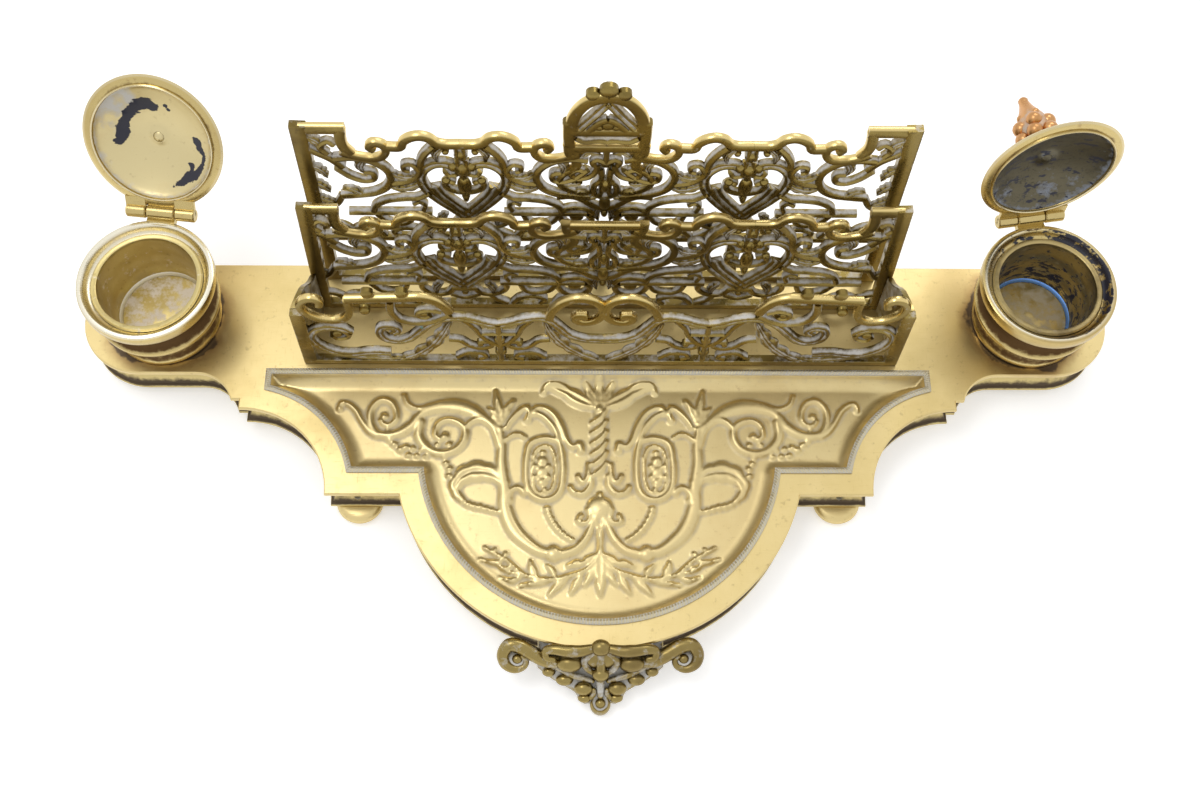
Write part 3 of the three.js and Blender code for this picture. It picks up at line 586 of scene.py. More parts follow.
def top_plate():
    heap = Heap()
    bevel = 0.5
    count = len(plate_outline(0))
    tray_in = 1.0
    hole = tray_outline(tray_in)
    heap.add(*ring_open(plate_outline,
                        [(bevel, -PLATE_THICK), (0, -PLATE_THICK + bevel), (0, -bevel), (bevel, 0)]))
    heap.add(*ring_open(tray_outline, [(tray_in, 0), (tray_in, -PLATE_THICK)]))
    top, low = ([(x, y, z) for x, y in plate_outline(bevel) + hole] for z in (0, -PLATE_THICK))
    faces = fill_flat(top, [list(range(count)), list(range(count, count + len(hole)))])
    heap.add(top, faces)
    heap.add(low, [tuple(reversed(f)) for f in faces])
    heap.make("deck", DECK, nodes=["top_plate"])


def ring_open(outline, levels):
    points = []
    count = len(outline(0))
    for inset, height in levels:
        points.extend((x, y, height) for x, y in outline(inset))
    return points, ring_faces(len(levels), count, False, True, False)


def fill_flat(points, loops):
    """Triangles between an outer loop and an inner hole, both lists of point numbers."""
    polygons = [[Vector(points[i]) for i in loop] for loop in loops]
    order = [i for loop in loops for i in loop]
    return [tuple(order[i] for i in tri) for tri in tessellate_polygon(polygons)]


def apron():
    low = -APRON_DEEP
    top = -PLATE_THICK - 0.1
    levels = [(APRON_WALL, low), (1.0, low), (0.45, low + 0.3), (0.3, low + 0.9), (0.4, low + 1.6),
              (0.9, low + 2.1),
              (1.5, low + 2.3), (1.6, low + 3.0), (2.4, low + 4.2), (3.1, low + 5.8), (3.4, low + 7.4),
              (3.0, low + 9.0), (2.2, low + 10.1), (1.3, low + 10.8), (1.2, low + 11.4), (0.8, low + 11.7),
              (0.6, low + 12.2), (0.9, top), (APRON_WALL, top)]
    # High marks under the plate's edge and in the cove's hollows carry the dark matter: painted shadow and shade
    # over dirt.
    marks = [0.2, 0, 0, 0, 0.3, 0.9, 1.0, 0.8, 0.4, 0.2, 0.2, 0.4, 0.8, 1.0, 0.8, 0.4, 0.5, 0.9, 0]
    heap = Heap()
    heap.add(*loft(plate_outline, levels, marks))
    heap.make("apron", APRON, nodes=["apron_casing"])


def milled_border():
    """A half-round strip with fine slanting teeth."""
    heap = Heap()
    pitch = 1.15
    line = np.array(tray_outline(0, 60) + [tray_outline(0, 60)[0]])
    inner = np.array(tray_outline(BORDER_WIDE, 60) + [tray_outline(BORDER_WIDE, 60)[0]])
    gaps = np.linalg.norm(np.diff(line, axis=0), axis=1)
    run = np.concatenate([[0], np.cumsum(gaps)])
    total = run[-1]
    stations = int(total / pitch) * 4
    where = np.linspace(0, total, stations, endpoint=False)
    outer_spots = np.stack([np.interp(where, run, line[:, i]) for i in range(2)], axis=1)
    inner_spots = np.stack([np.interp(where, run, inner[:, i]) for i in range(2)], axis=1)
    section = [(0.0, 0.15, 0.0), (0.0, 0.75, 0.3), (0.2, 1.25, 0.9), (0.5, 1.6, 1.0), (0.8, 1.25, 0.9),
               (1.0, 0.75, 0.3), (1.0, 0.15, 0.0)]
    points = []
    marks = []
    for k in range(stations):
        tooth = 0.5 + 0.5 * math.cos(2 * math.pi * k / 4)
        for share, height, cut in section:
            spot = outer_spots[k] * (1 - share) + inner_spots[k] * share
            points.append((spot[0], spot[1], height - 0.35 * cut * (1 - tooth)))
            marks.append(0.75 - 0.6 * tooth * cut)
    heap.add(points, ring_faces(stations, len(section), True, True, False), marks)
    heap.make("milled_border", BORDER, nodes=["tray_border"])


# Pen tray with its relief

def tray_pan():
    spacing = 0.5
    xs = np.arange(-TRAY_HALF, TRAY_HALF + spacing, spacing)
    ys = np.arange(BOW_Y - BOW_RADIUS + TRAY_MARGIN - 1, TRAY_BACK + 1, spacing)
    grid_x, grid_y = np.meshgrid(xs, ys)
    inset = inset_of(grid_x, grid_y, tray_outline(0))
    start = 1.3
    reach = np.clip((inset - BORDER_WIDE * 0.75) / (TRAY_COVE + BORDER_WIDE * 0.25), 0, 1)
    base = -0.35 - (TRAY_DEEP - 0.35) * (1 - (1 - reach) ** 2) ** 0.75
    raised, grime_and_painted_light = tray_relief(grid_x, grid_y)
    height = base + raised
    keep = inset > start - 0.2
    number = -np.ones(grid_x.shape, int)
    number[keep] = np.arange(keep.sum())
    points = list(zip(grid_x[keep], grid_y[keep], height[keep]))
    marks = list(np.clip(grime_and_painted_light[keep] + 0.25 * (inset[keep] < 4.0), 0, 1))
    faces = []
    edge_count = {}
    rows, columns = grid_x.shape
    for j in range(rows - 1):
        for i in range(columns - 1):
            corners = (number[j, i], number[j, i + 1], number[j + 1, i + 1], number[j + 1, i])
            if min(corners) >= 0:
                faces.append(tuple(int(c) for c in corners))
    for face in faces:
        for k in range(4):
            edge_count[(face[k], face[(k + 1) % 4])] = True
    rim = [(a, b) for a, b in edge_count if (b, a) not in edge_count]
    low = {}
    for a, b in rim:
        for spot in (a, b):
            if spot not in low:
                low[spot] = len(points)
                points.append((points[spot][0], points[spot][1], -TRAY_DEEP - PAN_THICK))
                marks.append(0.3)
    for a, b in rim:
        faces.append((b, a, low[a], low[b]))
    follow = {low[b]: low[a] for a, b in rim}
    while follow:
        first, spot = follow.popitem()
        loop = [first]
        while spot != first:
            loop.append(spot)
            spot = follow.pop(spot)
        if len(loop) > 40:
            faces.append(tuple(loop))
    piece("tray_pan", points, faces, [TRAY], nodes=["pen_tray"], marks=marks)


def inset_of(grid_x, grid_y, outline):
    """Distance inside a closed outline, negative outside it."""
    spots = np.array(outline)
    ends = np.roll(spots, -1, axis=0)
    best = np.full(grid_x.shape, 1e9)
    inside = np.zeros(grid_x.shape, bool)
    for (ax, ay), (bx, by) in zip(spots, ends):
        best = np.minimum(best, segment_gap(grid_x, grid_y, ax, ay, bx, by)[0])
        if ay != by:
            crosses = (ay > grid_y) != (by > grid_y)
            inside ^= crosses & (grid_x < (bx - ax) * (grid_y - ay) / (by - ay) + ax)
    return np.where(inside, best, -best)


def segment_gap(grid_x, grid_y, ax, ay, bx, by):
    long = max((bx - ax) ** 2 + (by - ay) ** 2, 1e-9)
    share = np.clip(((grid_x - ax) * (bx - ax) + (grid_y - ay) * (by - ay)) / long, 0, 1)
    return np.hypot(grid_x - ax - share * (bx - ax), grid_y - ay - share * (by - ay)), share


def round_top(gap):
    return np.sqrt(np.clip(1 - gap * gap, 0, 1))


def creased(gap):
    return round_top(gap) * (1 - 0.5 * np.exp(-(gap / 0.2) ** 2))


class Relief:
    """Raised work on a grid: strokes, leaves and beads, each point taking the highest of them."""

    def __init__(self, grid_x, grid_y):
        self.x = grid_x
        self.y = grid_y
        self.height = np.zeros(grid_x.shape)
        self.step = grid_x[0, 1] - grid_x[0, 0]

    def window(self, low, high):
        row, column = self.y[:, 0], self.x[0]
        return (slice(np.searchsorted(row, low[1]), np.searchsorted(row, high[1]) + 1),
                slice(np.searchsorted(column, low[0]), np.searchsorted(column, high[0]) + 1))

    def stroke(self, places, widths, tall, profile=round_top, lobes=0):
        line = smooth_line(places, self.step * 0.8)
        share = np.linspace(0, 1, len(line))
        half = np.interp(share, np.linspace(0, 1, len(widths)), widths)
        if lobes:
            half = half * (0.72 + 0.28 * np.abs(np.sin(math.pi * lobes * share)))
        reach = half.max()
        whole = self.window(line.min(axis=0) - reach, line.max(axis=0) + reach)
        near = np.full(self.height.shape, 9.0)
        for spot, wide in zip(line, half):
            part = self.window(spot - wide, spot + wide)
            gap = np.hypot(self.x[part] - spot[0], self.y[part] - spot[1]) / wide
            near[part] = np.minimum(near[part], gap)
        self.height[whole] = np.maximum(self.height[whole], tall * profile(near[whole]))

    def bead(self, place, radius, tall):
        part = self.window(np.array(place) - radius, np.array(place) + radius)
        gap = np.hypot(self.x[part] - place[0], self.y[part] - place[1]) / radius
        self.height[part] = np.maximum(self.height[part], tall * round_top(gap))

    def both(self, numbers, widths, profile=round_top, lobes=0):
        """A table row's stroke on either half, a little fuller than it is drawn."""
        fuller = [w / TENTHS * 1.15 for w in widths]
        for side in BOTH:
            places = [(side * x, y) for x, y in places_of(numbers, TENTHS)]
            self.stroke(places, fuller, RELIEF_TALL, profile, lobes)


def blurred(field, reach):
    for axis in (0, 1):
        field = sum(np.roll(field, shift, axis) for shift in range(-reach, reach + 1)) / (2 * reach + 1)
    return field


# Tray relief, right half, in tenths of a millimetre: half-widths along the stroke (and lobes), then x and y
TENTHS = 10
TRAY_STEMS = [
    ((9, 10, 11, 13), 994, 358, 987, 382, 963, 380, 931, 354, 904, 310, 874, 270, 843, 251),
    ((14, 13, 12, 10, 8), 843, 255, 867, 292, 875, 336, 864, 373, 835, 397, 800, 388, 778, 355, 776, 318, 795,
     295, 818, 295, 833, 314),
    ((14, 17, 19, 17, 13), 843, 257, 802, 251, 756, 263, 710, 296, 685, 333, 662, 362, 626, 377),
    ((7, 10, 13), 750, 418, 733, 381, 696, 362, 651, 370, 605, 384),
    ((12, 17, 23, 27, 25, 19, 12), 718, 292, 689, 331, 655, 356, 605, 372, 549, 373, 497, 358, 450, 330, 413,
     299, 382, 277),
    ((17, 16, 14, 12, 9), 683, 309, 686, 254, 663, 210, 621, 183, 576, 181, 536, 200, 513, 238, 514, 282, 546,
     309, 587, 314, 616, 293, 622, 254, 603, 232),
    ((10, 13, 13, 9), 514, 276, 490, 307, 454, 318, 418, 299, 397, 266, 383, 211),
    ((12, 16, 17, 19, 21, 23), 377, 282, 371, 211, 371, 146, 364, 87, 355, 34, 349, -8),
    ((9, 12, 13, 11), 356, 282, 337, 316, 307, 349, 279, 366, 268, 344, 275, 316),
    ((7, 8, 6), 355, 233, 340, 249, 310, 258, 284, 244),
    ((10, 12, 13, 14, 13, 10, 12), 250, 338, 245, 363, 210, 363, 173, 335, 145, 283, 127, 234, 101, 206, 76,
     217, 71, 190),
    ((12, 12), 167, 233, 198, 240, 239, 233, 266, 211, 275, 157, 277, 103, 271, 50, 250, 13, 210, -5, 170, 5,
     146, 40, 139, 104, 142, 168, 152, 223, 173, 283, 209, 327, 240, 344),
    ((5, 5), 182, 201, 208, 211, 238, 195, 250, 157, 253, 103, 247, 50, 231, 24, 200, 18, 176, 45, 166, 100,
     168, 160, 182, 201),
    ((9, 11, 12, 10), 111, 45, 96, 24, 61, 19, 36, 50, 31, 88),
    ((8, 9, 8), 81, 88, 61, 61, 44, 95, 41, 136),
    ((16, 20, 24, 25, 23, 19, 17), 353, 63, 356, -3, 342, -69, 314, -126, 271, -170, 224, -202, 178, -214),
    ((9, 10, 12), 342, 5, 324, 36, 298, 39, 282, 22),
    ((17, 15, 14, 13, 11), 139, -214, 93, -198, 54, -158, 31, -109, 19, -77),
    ((9, 9, 9), 70, -68, 78, -89, 54, -97, 39, -77, 44, -42),
    ((6, 8, 9, 8, 7, 6, 5), 0, -174, 12, -230, 47, -270, 100, -293, 161, -309, 222, -309, 276, -293, 315, -262,
     346, -234, 385, -214, 424, -190),
    ((6, 6, 5), 291, -293, 330, -282, 361, -266, 365, -242, 346, -234),
    ((6, 6, 8), 9, -77, 7, -125, 0, -185),
    ((5, 5, 4), 315, -262, 350, -265, 400, -245, 440, -235),
]
TRAY_LEAVES = [
    ((9, 20, 14, 4), 0, 380, 299, 386, 360, 400, 439),
    ((8, 17, 5), 0, 385, 299, 401, 338, 422, 365),
    ((8, 18, 5), 0, 372, 299, 358, 354, 331, 396),
    ((9, 17, 26, 31, 27, 18), 2, 215, 430, 205, 452, 175, 454, 135, 438, 90, 410, 50, 388, 25, 374),
    ((9, 19, 11), 0, 52, 464, 34, 428, 12, 390),
    ((12, 23, 34, 38, 34, 26, 17, 10), 6, 356, 50, 377, 76, 407, 98, 448, 106, 488, 102, 522, 80, 540, 48, 532,
     15, 508, -7),
    ((3, 14, 3), 0, 47, -254, 85, -250, 122, -262),
    ((3, 15, 3), 0, 108, -293, 154, -333, 187, -372),
    ((3, 15, 3), 0, 62, -277, 85, -325, 108, -364),
    ((3, 15, 3), 0, 222, -309, 246, -278, 254, -239),
    ((3, 12, 3), 0, 154, -309, 230, -322, 295, -333),
    ((3, 15, 3), 0, 10, -250, 34, -293, 60, -335),
    ((3, 14, 3), 0, 15, -214, 45, -238, 76, -262),
    ((3, 11, 3), 0, 346, -234, 385, -246, 425, -240),
    ((3, 11, 3), 0, 276, -293, 320, -314, 365, -302),
    ((3, 11, 3), 0, 161, -309, 176, -276, 196, -254),
]
TRAY_BEADS = [
    820, 329, 13, 805, 276, 10, 794, 233, 13, 776, 215, 13, 752, 194, 14, 732, 204, 11, 720, 172, 11, 703, 198,
     11, 689, 169, 11, 672, 192, 11, 656, 167, 10, 589, 246, 16, 613, 214, 11, 570, 214, 11, 585, 162, 10, 578,
     139, 11, 564, 116, 12, 564, 89, 12, 217, 149, 20, 217, 106, 24, 216, 64, 20, 240, 126, 12, 194, 126, 12,
     237, 84, 12, 195, 84, 12, 207, 34, 12, 215, 182, 12, 195, -40, 12, 191, -60, 13, 181, -81, 13, 169, -102,
     13, 155, -121, 13, 138, -138, 12, 120, -152, 11, 103, -162, 10, 535, 28, 12, 524, 8, 13, 510, -10, 13, 490,
     -24, 13, 468, -32, 13, 445, -36, 13, 422, -42, 12, 400, -49, 11, 379, -53, 10, 346, -215, 9, 385, -198, 8,
]
RELIEF_TALL = 1.5


def tray_relief(grid_x, grid_y):
    work = Relief(grid_x, grid_y)
    for widths, *numbers in TRAY_STEMS:
        work.both(numbers, widths)
    for widths, lobes, *numbers in TRAY_LEAVES:
        work.both(numbers, widths, creased, lobes)
    for x, y, radius in places_of(TRAY_BEADS, TENTHS, 3):
        for side in BOTH:
            work.bead((side * x, y), radius * 1.1, RELIEF_TALL * 0.85)
    for side in BOTH:
        work.bead((side * 17.1, -21.4), 3.3, RELIEF_TALL * 1.4)
    work.bead((0, -3.8), 5.0, RELIEF_TALL * 1.4)
    work.stroke([(0, -1.0), (0, 1.4)], [1.6, 1.2], RELIEF_TALL)
    work.stroke([(0, 48.0), (0, 43.4), (0, 38.0)], [1.2, 2.2, 1.4], RELIEF_TALL, creased)
    work.stroke([(0, -21), (0, -28), (0, -33), (0, -37.6)], [0.6, 2.2, 2.1, 0.3], RELIEF_TALL, creased)
    work.bead((0, 36.0), 1.9, RELIEF_TALL * 1.2)
    work.stroke([(0, 34.0), (0, 22.0), (0, 10.0)], [2.4, 2.8, 3.3], RELIEF_TALL * 0.55)
    for turn in range(6):
        low = 9.0 + 4.3 * turn
        work.stroke([(-2.9, low), (0, low + 1.6), (2.7, low + 5.4)], [0.7, 1.5, 0.7], RELIEF_TALL * 1.2)
    height = blurred(work.height, 1)
    hollow = np.clip((blurred(height, 3) - height) * 2.2, 0, 1)
    return height, np.clip(hollow + 0.1, 0, 1)


# Letter rack

CROWN = [(-1, 0.45), (-1, -0.14), (-0.74, -0.4), (0, -0.54), (0.74, -0.4), (1, -0.14), (1, 0.45)]
CROWN_MARKS = [0.2, 1.0, 0.1, 0.0, 0.1, 1.0, 0.2]
GROOVED = [(-1, 0.45), (-1, -0.18), (-0.78, -0.45), (-0.45, -0.48), (0, -0.16), (0.45, -0.48), (0.78, -0.45),
           (1, -0.18), (1, 0.45)]
GROOVED_MARKS = [0.2, 1.0, 0.1, 0.05, 0.9, 0.05, 0.1, 1.0, 0.2]
ROUNDED = [(-1, 0.2), (-0.86, 0.42), (-0.5, 0.5), (0.5, 0.5), (0.86, 0.42), (1, 0.2), (1, -0.22), (0.8, -0.44),
           (0, -0.54), (-0.8, -0.44), (-1, -0.22)]
# Negative marks give the edges of the top scrolls the paler polish colour, partly polish and partly a painted
# highlight.
ROUNDED_MARKS = [-0.6, -0.4, 0.1, 0.1, -0.4, -0.6, -0.6, -0.1, 0.1, -0.1, -0.6]
BROAD = 1.65
DROP_PROUD = 0.6
DROP_DEEP = 1.5
BAR = [(-1, 0.5), (-1, -0.42), (-0.8, -0.5), (0.8, -0.5), (1, -0.42), (1, 0.5)]
BAR_MARKS = [0.25, 0.4, 0.05, 0.05, 0.4, 0.25]
RAIL_HALF = 1.5
RAIL_RISE = 1.7
LEAF = [(-1, 0.2), (-1, 0.0), (-0.6, -0.42), (-0.25, -0.28), (0, -0.5), (0.25, -0.28), (0.6, -0.42), (1, 0.0),
        (1, 0.2)]
LEAF_MARKS = [0.5, 0.8, 0.1, 0.8, 0.0, 0.8, 0.1, 0.8, 0.5]


def own_depth(heap):
    """The panel's thickness, a hair less for each stroke than for the last, so that no two faces share a plane."""
    return PANEL_THICK - 0.002 * heap.shapes


def ribbon(heap, places, half, panel_y, section, marks):
    """A cast scroll on edge along [x, z] places, of the given cross-section."""
    thick = own_depth(heap)
    line = smooth_line(places, 0.9)
    side = normals_of(line)
    points = []
    for spot, out in zip(line, side):
        for across, deep in section:
            x = spot[0] + out[0] * across * half
            z = spot[1] + out[1] * across * half
            points.append((x, panel_y + deep * thick, z))
    heap.add(points, ring_faces(len(line), len(section), False, True, True), marks * len(line))


def boss(heap, x, z, radius, panel_y):
    """A round-headed stud in a panel's face."""
    front = PANEL_THICK / 2
    profile = [(0, -front), (radius, -front), (radius, front * 0.3), (radius * 0.75, front * 0.75), (0, front)]
    points, faces, grime_and_painted_light = turned(profile, steps=14)
    spots = [(p[0] + x, panel_y - p[2], p[1] + z) for p in points]
    heap.add(spots, [tuple(reversed(f)) for f in faces], grime_and_painted_light)


# Scroll tables of the right half: a half-width in millimetres, then x and z in thousandths of the reach and rise
SHARE_UNIT = 1000
HEART_SHARE = 0.4925
HEART_TOP = [
    (1.6, 260, 600, 200, 598, 185, 630, 160, 652, 130, 660, 100, 650, 80, 625, 50, 613, 0, 613),
    (1.5, 400, 572, 360, 545, 310, 532, 268, 543, 248, 578, 257, 612, 287, 622, 303, 600, 287, 583),
]
HEART = [
    (1.6, 430, 530, 370, 538, 310, 520, 265, 475, 252, 420, 272, 360, 320, 322, 380, 308, 440, 300),
    (1.3, 430, 475, 390, 425, 345, 400, 310, 412, 312, 448, 340, 455),
    (1.5, 250, 385, 200, 395, 160, 430, 143, 475, 138, 520, 118, 565, 85, 610),
    (1.1, 150, 460, 170, 500, 198, 497, 200, 468, 182, 460),
    (2.0, 0, 155, 50, 220, 100, 285, 135, 345, 148, 405, 137, 460, 100, 500, 55, 505, 18, 478),
    (1.1, 18, 478, 20, 445, 48, 438, 60, 460),
    (2.3, 0, 190, 45, 250, 85, 310, 106, 365),
    (1.3, 0, 330, 30, 335, 60, 355, 68, 385, 50, 400, 36, 388),
    (1.3, 130, 190, 430, 190),
    (1.3, 145, 195, 150, 150, 125, 115, 88, 100, 55, 115, 35, 150),
    (1.3, 340, 200, 325, 240, 280, 272, 220, 285, 170, 290, 125, 325),
    (1.0, 160, 210, 150, 245, 170, 265, 190, 250),
    (1.2, 170, 30, 200, 75, 245, 85, 285, 60, 270, 30),
    (1.2, 200, 180, 215, 135, 250, 115, 300, 130, 330, 180),
    (1.1, 320, 30, 350, 80, 400, 90, 440, 60),
    (1.2, 88, 100, 110, 60, 150, 30),
]
HEART_SPINE = [
    (2.2, 0, 600, 0, 540),
    (2.6, 0, 520, 0, 450),
    (1.5, 0, 460, 0, 300),
    (1.5, -45, 145, 45, 145),
    (1.2, -50, 100, 0, 75, 50, 100),
]
HEART_DROPS = [(0.0, 0.375, 2.6, 5.6), (0.0, 0.3, 1.2, 2.6), (0.0, 0.47, 2.3, 3.6), (-0.032, 0.49, 1.7, 2.4),
               (0.032, 0.49, 1.7, 2.4), (-0.062, 0.405, 1.7, 1.7), (0.062, 0.405, 1.7, 1.7)]
CENTRE_DROPS = [(0.0, 0.265, 2.2, 4.2), (0.0, 0.2, 1.3, 2.0), (0.0, 0.375, 1.6, 3.6)]
HEART_BOSSES = [(0.0, 0.555, 2.4), (0.05, 0.575, 1.3), (-0.05, 0.575, 1.3), (0.0, 0.115, 1.4)]
CENTRE_TOP = [
    (1.7, 0, 600, 130, 600),
    (1.8, 130, 620, 125, 570, 105, 530, 100, 500, 115, 470),
]
CENTRE = [
    (1.4, 30, 505, 35, 465, 60, 430, 100, 420, 120, 450, 100, 475, 80, 465),
    (1.4, 0, 515, 30, 535, 45, 520, 40, 500),
    (1.3, 20, 480, 15, 420, 40, 370, 35, 320, 0, 300),
    (1.5, 115, 470, 150, 440, 160, 390, 130, 350, 80, 330, 50, 340),
    (1.5, 0, 225, 40, 245, 80, 285, 120, 305, 170, 300),
    (1.4, 40, 190, 60, 220, 100, 230, 145, 215, 160, 170, 140, 120, 100, 100, 60, 115, 45, 155, 60, 185),
    (1.2, 60, 110, 40, 60, 0, 40),
]
CENTRE_SPINE = [
    (1.2, 0, 600, 0, 500),
    (2.4, 0, 420, 0, 330),
]
CENTRE_BOSSES = [(0.1, 0.165, 2.6), (0.0, 0.51, 2.0), (0.02, 0.315, 1.3), (-0.02, 0.315, 1.3)]
CORNER_TOP = [
    (2.2, 860, 698, 1010, 698),
    (2.0, 877, 700, 883, 640, 880, 600, 862, 560),
]
CORNER = [
    (1.5, 1010, 600, 975, 565, 935, 530, 900, 480),
    (1.3, 930, 300, 955, 250, 1000, 220, 1040, 210),
    (1.3, 940, 560, 960, 600, 930, 630, 910, 610),
    (1.3, 920, 30, 950, 90, 1000, 110, 1030, 80),
]
HEART_LEAVES = [
    (2.6, 145, 390, 185, 360, 230, 350, 265, 375),
    (2.4, 150, 440, 190, 420, 225, 430, 250, 460),
    (2.0, 360, 310, 400, 345, 430, 350),
    (2.2, 330, 530, 350, 490, 340, 455),
    (1.8, 60, 600, 85, 560, 80, 520),
    (2.0, 80, 190, 100, 150, 100, 110),
]
CENTRE_LEAVES = [
    (2.2, 80, 560, 60, 580, 20, 575),
    (2.4, 30, 310, 60, 300, 90, 330),
    (2.2, 150, 400, 110, 385, 80, 400),
    (1.8, 20, 230, 30, 190, 20, 150),
]
CORNER_LEAVES = [
    (2.6, 1000, 660, 965, 630, 950, 580),
    (2.4, 1020, 500, 985, 470, 960, 420),
    (2.4, 1030, 400, 995, 370, 965, 330),
    (2.2, 1040, 300, 1000, 280, 960, 260),
]
CREST_TOP = [
    (1.8, 0, 692, 135, 692),
    (2.0, 127, 740, 127, 660, 122, 610, 105, 575, 110, 540),
    (2.2, 115, 700, 115, 750, 100, 800, 70, 845, 35, 868, 0, 876),
]
CREST = [
    (1.7, 98, 705, 50, 775, 0, 850),
    (1.6, 0, 760, 25, 745, 50, 715, 60, 700),
    (1.2, 105, 660, 75, 640, 30, 645, 0, 640),
]
CREST_BOSSES = [(0.0, 0.905, 3.1), (0.05, 0.885, 2.4), (-0.05, 0.885, 2.4), (0.13, 0.735, 1.8),
                (-0.13, 0.735, 1.8),
                (0.0, 0.73, 2.2), (0.028, 0.72, 1.4), (-0.028, 0.72, 1.4)]
FRONT_TOP = [
    (1.5, 970, 460, 965, 490, 985, 510, 1015, 500, 1035, 460, 1025, 405, 985, 360, 930, 348, 892, 370, 872, 420,
     870, 500),
    (1.7, 875, 507, 660, 520),
    (1.8, 670, 520, 620, 523, 575, 500, 545, 455, 532, 415),
    (1.7, 190, 365, 180, 420, 155, 470, 120, 505, 80, 518, 35, 500, 8, 455, 8, 395, 35, 350, 75, 340, 100, 365,
     90, 395, 65, 390),
]
FRONT = [
    (1.5, 530, 400, 575, 360, 620, 335, 670, 335, 710, 360, 730, 420, 725, 490),
    (1.2, 560, 420, 600, 435, 635, 420, 640, 390, 615, 378, 598, 395),
    (1.7, 370, 318, 410, 330, 460, 360, 510, 375, 560, 365, 610, 320, 650, 260, 690, 205, 735, 185, 775, 205,
     790, 250, 775, 295, 740, 300, 725, 270, 745, 250),
    (1.7, 370, 318, 330, 330, 280, 360, 230, 375, 190, 360, 155, 300, 120, 240, 70, 205, 0, 195),
    (1.8, 895, 250, 920, 285, 970, 295, 1015, 270, 1040, 210, 1020, 140, 965, 85, 900, 75, 840, 90, 770, 85),
    (1.2, 895, 250, 910, 215, 945, 205, 960, 230),
    (1.2, 550, 200, 510, 190, 480, 150, 440, 130, 400, 150, 410, 185, 440, 180),
    (1.2, 190, 200, 230, 190, 260, 150, 300, 130, 340, 150, 330, 185, 300, 180),
    (1.1, 530, 50, 490, 90, 440, 85, 425, 55, 450, 40),
    (1.1, 210, 50, 250, 90, 300, 85, 315, 55, 290, 40),
    (1.3, 370, 320, 370, 30),
    (1.1, 430, 250, 310, 250),
    (1.2, 490, 360, 455, 300, 440, 250, 410, 190, 370, 150),
    (1.2, 250, 360, 285, 300, 300, 250, 330, 190, 370, 150),
]
FRONT_LEAVES = [
    (3.4, 740, 30, 680, 70, 620, 140, 580, 220, 550, 300, 530, 360),
    (3.4, 20, 30, 70, 70, 130, 140, 170, 220, 195, 300, 205, 360),
    (2.4, 950, 70, 880, 50, 800, 40, 720, 50),
]
FRONT_BOSSES = [(0.797, 0.545, 2.2), (0.682, 0.547, 2.2), (0.82, 0.42, 2.0), (0.37, 0.19, 2.2),
                (0.37, 0.09, 2.2),
                (0.44, 0.16, 1.4), (0.3, 0.16, 1.4), (0.94, 0.24, 2.0), (0.62, 0.4, 1.6), (0.07, 0.38, 1.8)]


class Panel:
    """One fret of the rack: its scrolls are drawn as shares of the reach and the rise."""

    def __init__(self, y, lift, spread, foot_x, head_x, top):
        self.heap = Heap()
        self.y = y
        self.lift = lift
        self.spread = spread
        self.foot_x = foot_x
        self.head_x = head_x
        self.top = top

    def place(self, about, side, x, z):
        """A place in millimetres, held inside the middle of the slanting side post."""
        height = z * RISE + self.lift
        edge = self.foot_x + (self.head_x - self.foot_x) * height / self.top
        return max(-edge, min(edge, (about + side * x) * REACH * self.spread)), height

    def lines(self, table, about, sides):
        """Each row's half-width with its places, once for every side."""
        for half, *numbers in table:
            for side in sides:
                yield half, [self.place(about, side, x, z) for x, z in places_of(numbers, SHARE_UNIT)]

    def strokes(self, table, about=0.0, sides=BOTH, top=False):
        for half, places in self.lines(table, about, sides):
            section, marks = (GROOVED, GROOVED_MARKS) if half > BROAD else (CROWN, CROWN_MARKS)
            if top:
                section, marks = ROUNDED, ROUNDED_MARKS
            ribbon(self.heap, places, half, self.y, section, marks)

    def leaves(self, table, about=0.0, lobes=4):
        for half, places in self.lines(table, about, BOTH):
            leaf(self.heap, places, half, self.y, lobes)

    def drops(self, table, about=0.0):
        for x, z, wide, tall in table:
            drop_x, drop_z = self.place(about, 1, x, z)
            self.heap.add(*ball((drop_x, self.y - DROP_PROUD, drop_z), (wide, DROP_DEEP, tall), 14, 10))

    def bosses(self, table, about=0.0, sides=(1,)):
        for x, z, radius in table:
            for side in sides:
                boss(self.heap, *self.place(about, side, x, z), radius, self.y)

    def bar(self, x0, z0, x1, z1, half):
        ribbon(self.heap, [(x0, z0), (x1, z1)], half, self.y, BAR, BAR_MARKS)

    def posts(self, half, low):
        for side in (-1, 1):
            self.bar(side * self.foot_x, low, side * self.head_x, self.top, half)
        self.bar(-self.foot_x, RAIL_RISE, self.foot_x, RAIL_RISE, RAIL_HALF)

    def make(self, name, node_name):
        self.heap.turn(Matrix.Translation((RACK_X, 0, 0)))
        self.heap.make(name, RACK, nodes=[node_name], slot="rack_brass")


def leaf(heap, places, half, panel_y, lobes):
    """An acanthus leaf: a broad scroll whose edges swell and draw in."""
    line = smooth_line(places, 0.6)
    side = normals_of(line)
    count = len(line)
    thick = own_depth(heap)
    points = []
    for k in range(count):
        share = k / (count - 1)
        body = math.sin(math.pi * min(1.0, 0.15 + share * 0.85)) ** 0.6
        wave = 0.62 + 0.38 * abs(math.sin(math.pi * lobes * share))
        for across, deep in LEAF:
            wide = half * body * (wave if abs(across) > 0.5 else 0.8)
            points.append((line[k][0] + side[k][0] * across * wide, panel_y + deep * thick,
                           line[k][1] + side[k][1] * across * wide))
    heap.add(points, ring_faces(count, len(LEAF), False, True, True), LEAF_MARKS * count)


